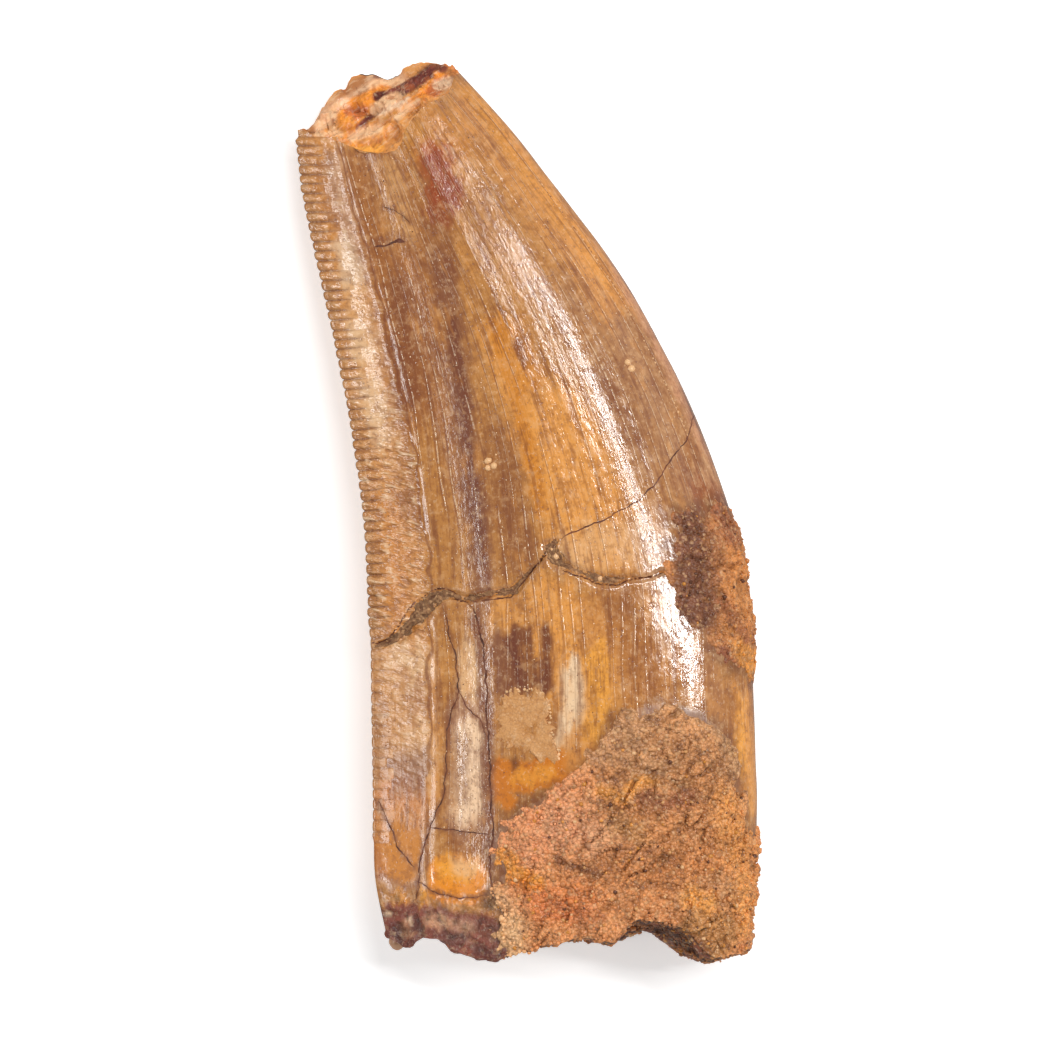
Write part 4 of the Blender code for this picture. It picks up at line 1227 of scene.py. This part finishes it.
def make_cracks(ground):
    """The thin cracks, as narrow brown ribbons laid on the enamel, ragged and tapered at their ends."""
    points, faces, colours = [], [], []
    chance = np.random.default_rng(3)
    for half, path in CRACKS:
        centre, place = resampled(plan(path), 0.08)
        run = np.gradient(centre, axis=0)
        side = np.stack([-run[:, 1], run[:, 0]], axis=-1) / np.hypot(*run.T)[:, None]
        lift = np.column_stack([centre, np.zeros(len(centre))])
        centre = centre + side * (0.12 * noise(lift, 0.9, 91) + 0.05 * noise(lift, 0.25, 92))[:, None]
        taper = np.minimum(1, np.minimum(place, 1 - place) * 9 + 0.2)
        width = np.maximum(half * taper * (1 + 0.7 * noise(lift, 0.5, 93) + 0.4 * noise(lift, 0.15, 94)), 0.006)
        shade = 0.55 + 0.5 * noise(lift, 0.7, 95)
        first, good = len(points), 0
        for c, n, w, dim in zip(centre, side, width, shade):
            hits = [ground.at(*(c + n * w * k)) for k in (-1, 0, 1)]
            if None in hits:
                continue
            for (found, normal), sink in zip(hits, (0.010, 0.005, 0.010)):
                points.append(tuple(found + normal * sink))
                colours.append(linear(PALETTE["dark brown"]) * max(dim + 0.2, 0.3) * chance.uniform(0.6, 1.1))
            good += 1
        faces.append(grid_faces(good, 3, False, first, flip=True))
    return mesh_object("thin_cracks", np.array(points), np.concatenate(faces), np.array(colours))


def make_break_cement(ground):
    """The ribbed grey-brown sand that fills the healed break and its branch."""
    across = np.linspace(-1, 1, 15)
    points, colours, faces = [], [], []
    for route in (BREAK, BRANCH):
        path = np.array(route, float)
        centre, place = resampled(np.column_stack([plan(path[:, :2]), path[:, 2]]), 0.07)
        run = np.gradient(centre[:, :2], axis=0)
        side = np.stack([-run[:, 1], run[:, 0]], axis=-1) / np.hypot(*run.T)[:, None]
        first, rows = len(points), 0
        for (x, y, half), n, p in zip(centre, side, place):
            edge = 1.1 + 0.5 * float(noise(np.array((x, y, 0.0)), 0.5, 98))
            spots = [np.array((x, y)) + n * half * edge * k for k in across]
            hits = [ground.at(*spot) for spot in spots]
            if hits[len(across) // 2] is None:
                continue
            solid = next(h for h in hits[len(across) // 2:] + hits if h is not None)
            for k, spot, hit in zip(across, spots, hits):
                z = (hit or solid)[0].z
                rib = float(noise(np.array((k * half * 4, p * 30, 0.0)), (0.5, 1.6, 1.0), 94))
                grit = float(noise(np.array((*spot, 0.0)), 0.22, 95))
                hump = half * (0.45 * (1 - k**2) + 0.35 * rib + 0.22 * grit) - 0.06 - 0.12 * k**6
                points.append((*spot, z + hump))
                # Painted shade and light: the fill is lighter on its ribs and grit and darker towards its edges,
                # where it sinks into the groove.
                shade = max(0.85 + 0.6 * rib + 0.35 * grit - 0.45 * k**4, 0.15)
                colours.append(linear(PALETTE["cement"]) * shade)
            rows += 1
        faces.append(grid_faces(rows, len(across), False, first, flip=True))
    return mesh_object("break_cement", np.array(points), np.concatenate(faces), np.array(colours))


def patch(name, ground, outline, height, crumble, colours, seed):
    """A thin ragged patch that lies on the crown inside an outline drawn in photograph pixels."""
    ring = plan(outline)
    centre = ring.mean(axis=0)
    spokes, rings, full_turn = 110, 18, 2 * np.pi
    angle = np.linspace(0, full_turn, spokes, endpoint=False)
    around = ring - centre
    heading = np.arctan2(around[:, 1], around[:, 0]) % full_turn
    order = np.argsort(heading)
    radius = np.interp(angle, heading[order], np.hypot(*around.T)[order], period=full_turn)
    circle = np.column_stack([np.cos(angle) * 3, np.sin(angle) * 3, np.zeros(spokes)])
    radius = radius * (1 + crumble * noise(circle, 0.8, seed) + crumble * noise(circle, 0.3, seed + 1))
    points, paint = [], []
    for share in np.linspace(0, 1, rings + 1):
        for a, r in zip(angle, radius):
            x, y = centre + np.array((math.cos(a), math.sin(a))) * r * share
            found, normal = ground.at(x, y)
            grit = float(noise(np.array((x, y, 0.0)), 0.3, seed + 2))
            lump = float(noise(np.array((x, y, 0.0)), 0.8, seed + 3))
            rim = float(bell(share, 0.9, 0.10)) * max(lump, 0) * 1.5
            rounded = float(ramp(1 - share, 0.0, 0.12)) * (0.7 + 0.6 * lump + rim)
            up = -0.05 + height * rounded + 0.25 * height * grit
            points.append(tuple(found + normal * up))
            mix = min(max(0.5 + 0.9 * lump + 0.4 * grit, 0), 1)
            paint.append(linear(PALETTE[colours[0]]) * (1 - mix) + linear(PALETTE[colours[1]]) * mix)
    return mesh_object(name, np.array(points), grid_faces(rings + 1, spokes, True), np.array(paint))


def placed_grains(name, spots, ground, colours, seed):
    """Grains at named places of the near face: each spot is (x, y, radius) in millimetres in plan."""
    found = [(ground.at(x, y), r, c) for (x, y, r), c in zip(spots, colours)]
    found = [(hit, r, c) for hit, r, c in found if hit]
    centres = np.array([hit[0][:] for hit, _, _ in found])
    normals = np.array([hit[1][:] for hit, _, _ in found])
    radii = np.array([r for _, r, _ in found])
    return scatter_grains(name, centres, normals, radii, np.array([c for _, _, c in found]), seed)


def make_specks(ground):
    """Single grains stuck on the enamel: the pale ones seen in the photograph and a scatter of tiny ones."""
    chance = np.random.default_rng(17)
    spots = [(*plan(p[:2]), p[2]) for p in SPECKS]
    colours = [linear(PALETTE["pale tan"]) * 1.05 for _ in SPECKS]
    rim = plan(SANDY_PATCH[2:11])
    for a, b in zip(rim, rim[1:]):
        for f in np.linspace(0, 1, 6, endpoint=False):
            spot = a + (b - a) * f + chance.normal(scale=0.05, size=2)
            spots.append((*spot, chance.uniform(0.07, 0.14)))
            colours.append(linear(PALETTE["pale tan"]) * chance.uniform(0.75, 1.2))
    for _ in range(420):
        v, s = chance.uniform(0.08, 0.95), chance.uniform(0.16, 0.92)
        x, y, _ = crown_point(s, True, v)
        spots.append((x, y, chance.uniform(0.025, 0.06)))
        colours.append(linear(PALETTE["cream" if chance.random() < 0.7 else "dark sand"]))
    for place in np.linspace(0.52, 0.86, 66):
        x, y, _ = crown_point(0.955, True, place)
        spots.append((x, y, chance.uniform(0.05, 0.10)))
        colours.append(linear(PALETTE["pale tan" if chance.random() < 0.6 else "brown"]))
    return placed_grains("stray_grains", spots, ground, colours, 18)


def make_lone_grains():
    """The quartz grain at the lower left corner and the dark nub under the base."""
    chance = np.random.default_rng(44)
    spots = [(x, y, z + chance.uniform(-0.05, 0.05), r, name) for x, y, z, r, name in LONE_GRAINS]
    centres = np.array([(*plan((x, y)), z) for x, y, z, _, _ in spots])
    radii = np.array([r for *_, r, _ in spots])
    colours = np.array([linear(PALETTE[name]) for *_, name in spots])
    return scatter_grains("lone_grains", centres, np.zeros((len(spots), 3)), radii, colours, 45, 3)


def make_stage():
    """A plain pale floor."""
    mesh = bpy.data.meshes.new("floor")
    reach = 3.0
    corners = [(-reach, -reach, 0), (reach, -reach, 0), (reach, reach, 0), (-reach, reach, 0)]
    mesh.from_pydata(corners, [], [(0, 1, 2, 3)])
    floor = bpy.data.objects.new("floor", mesh)
    bpy.context.scene.collection.objects.link(floor)
    made, _, shader = new_material("floor_white", 0.9)
    shader.inputs["Base Color"].default_value = (0.9, 0.9, 0.9, 1)
    shader.inputs["Emission Color"].default_value = (1, 1, 1, 1)
    shader.inputs["Emission Strength"].default_value = 0.45
    shader.inputs["Specular IOR Level"].default_value = 0.1
    floor.data.materials.append(made)
    floor.location.z = -0.00005
    floor.visible_glossy = False


def softbox(name, start, end, width, brightness):
    """A long light whose middle line runs between two directions from the tooth, facing the tooth."""
    ends = [Vector(d).normalized() * LIGHT_DISTANCE for d in (start, end)]
    middle, run = (ends[0] + ends[1]) / 2, ends[1] - ends[0]
    light = bpy.data.lights.new(name, "AREA")
    light.shape = "RECTANGLE"
    light.size, light.size_y = width, run.length
    light.energy = brightness * math.pi * width * run.length
    obj = bpy.data.objects.new(name, light)
    bpy.context.scene.collection.objects.link(obj)
    forward = middle.normalized()
    length = (run - forward * run.dot(forward)).normalized()
    turn = Matrix((length.cross(forward), length, forward)).transposed()
    obj.matrix_world = Matrix.Translation(middle + Vector((0, 0, 0.006))) @ turn.to_4x4()


def make_lights():
    world = bpy.data.worlds.new("studio")
    world.use_nodes = True
    tree = world.node_tree
    direction = node(tree, "ShaderNodeTexCoord").outputs["Generated"]
    up = node(tree, "ShaderNodeSeparateXYZ", {0: direction}).outputs[2]
    glow = stepped(tree, up, 0.95, 0.25, 0.14, 0.66)
    glow = calc(tree, "MULTIPLY", glow, stepped(tree, up, -0.05, 0.35, 0.35, 1.0))
    tree.nodes["Background"].inputs[0].default_value = (1.0, 1.0, 1.0, 1)
    tree.links.new(glow, tree.nodes["Background"].inputs[1])
    bpy.context.scene.world = world
    softbox("upper_softbox", (-0.01, 0.46, 0.88), (0.27, 0.27, 0.93), 0.034, 44.0)
    softbox("lower_softbox", (0.26, 0.21, 0.94), (0.72, 0.04, 0.69), 0.030, 52.0)
    softbox("left_softbox", (-0.87, -0.30, 0.50), (-0.87, 0.26, 0.50), 0.08, 9.0)


def make_camera():
    """Straight above, with a long lens and the photograph's frame."""
    middle_height = 0.0055
    width = PHOTO_SIZE[0] / PIXELS_PER_MM * MM
    data = bpy.data.cameras.new("camera")
    data.sensor_width = 36.0
    data.lens = data.sensor_width * CAMERA_DISTANCE / width
    data.clip_start, data.clip_end = 0.01, 10.0
    camera = bpy.data.objects.new("camera", data)
    bpy.context.scene.collection.objects.link(camera)
    frame_middle = plan((PHOTO_SIZE[0] / 2, PHOTO_SIZE[1] / 2)) + TO_ORIGIN[:2]
    camera.location = (frame_middle[0] * MM, frame_middle[1] * MM, CAMERA_DISTANCE + middle_height)
    bpy.context.scene.camera = camera


def build():
    enamel = enamel_material()
    sand = gritty_material("sandstone", 0.28, relief=0.16, grain_size=0.22, light="pale tan")
    fine_sand = gritty_material("fine_sand", 0.7, relief=0.015, grain_size=0.12, light="cream", dark="tan")
    dark_sand = gritty_material("iron_stained_sand", 0.4, relief=0.09, grain_size=0.19, light="khaki")
    dentine = dentine_material()
    cement = gritty_material("crack_cement", 0.85, relief=0.05, grain_size=0.15, light="grey brown")
    grains = plain_material("sand_grains", 0.30)
    crack = plain_material("crack_dark", 0.8)

    crown, points, s, near_count = make_crown()
    dressed(crown, enamel, "fossil_enamel", "tooth_crown")
    serrations = dressed(make_serrations(), enamel, "fossil_enamel")
    dressed(make_broken_tip(points, s, near_count), dentine, "fossil_enamel")
    dressed(make_broken_base(points, s, near_count), dentine, "fossil_enamel")
    base_crust = dressed(make_base_crust(), sand, "sandstone_matrix", "base_matrix")
    mesial_crust = dressed(make_mesial_crust(), dark_sand, "iron_stained_matrix", "mesial_matrix")

    ground = Ground(crown, serrations)
    dressed(make_cracks(ground), crack, "fossil_enamel")
    dressed(make_break_cement(ground), cement, "sandstone_matrix")
    sandy = patch("sandy_patch", ground, SANDY_PATCH, 0.14, 0.22, ("khaki", "tan"), seed=110)
    dressed(sandy, fine_sand, "sandstone_matrix")
    flake = patch("tip_flake", ground, TIP_FLAKE, 0.28, 0.06, ("deep amber", "pale tan"), seed=120)
    dressed(flake, dentine, "fossil_enamel")
    dressed(make_specks(ground), grains, "sandstone_matrix")
    dressed(make_lone_grains(), grains, "sandstone_matrix")

    chance = np.random.default_rng(33)
    dressed(base_grains(base_crust, chance), grains, "sandstone_matrix")
    dressed(mesial_grains(mesial_crust, chance), grains, "iron_stained_matrix")

    make_stage()
    make_lights()
    make_camera()
    bpy.context.scene.view_settings.view_transform = "Standard"


build()
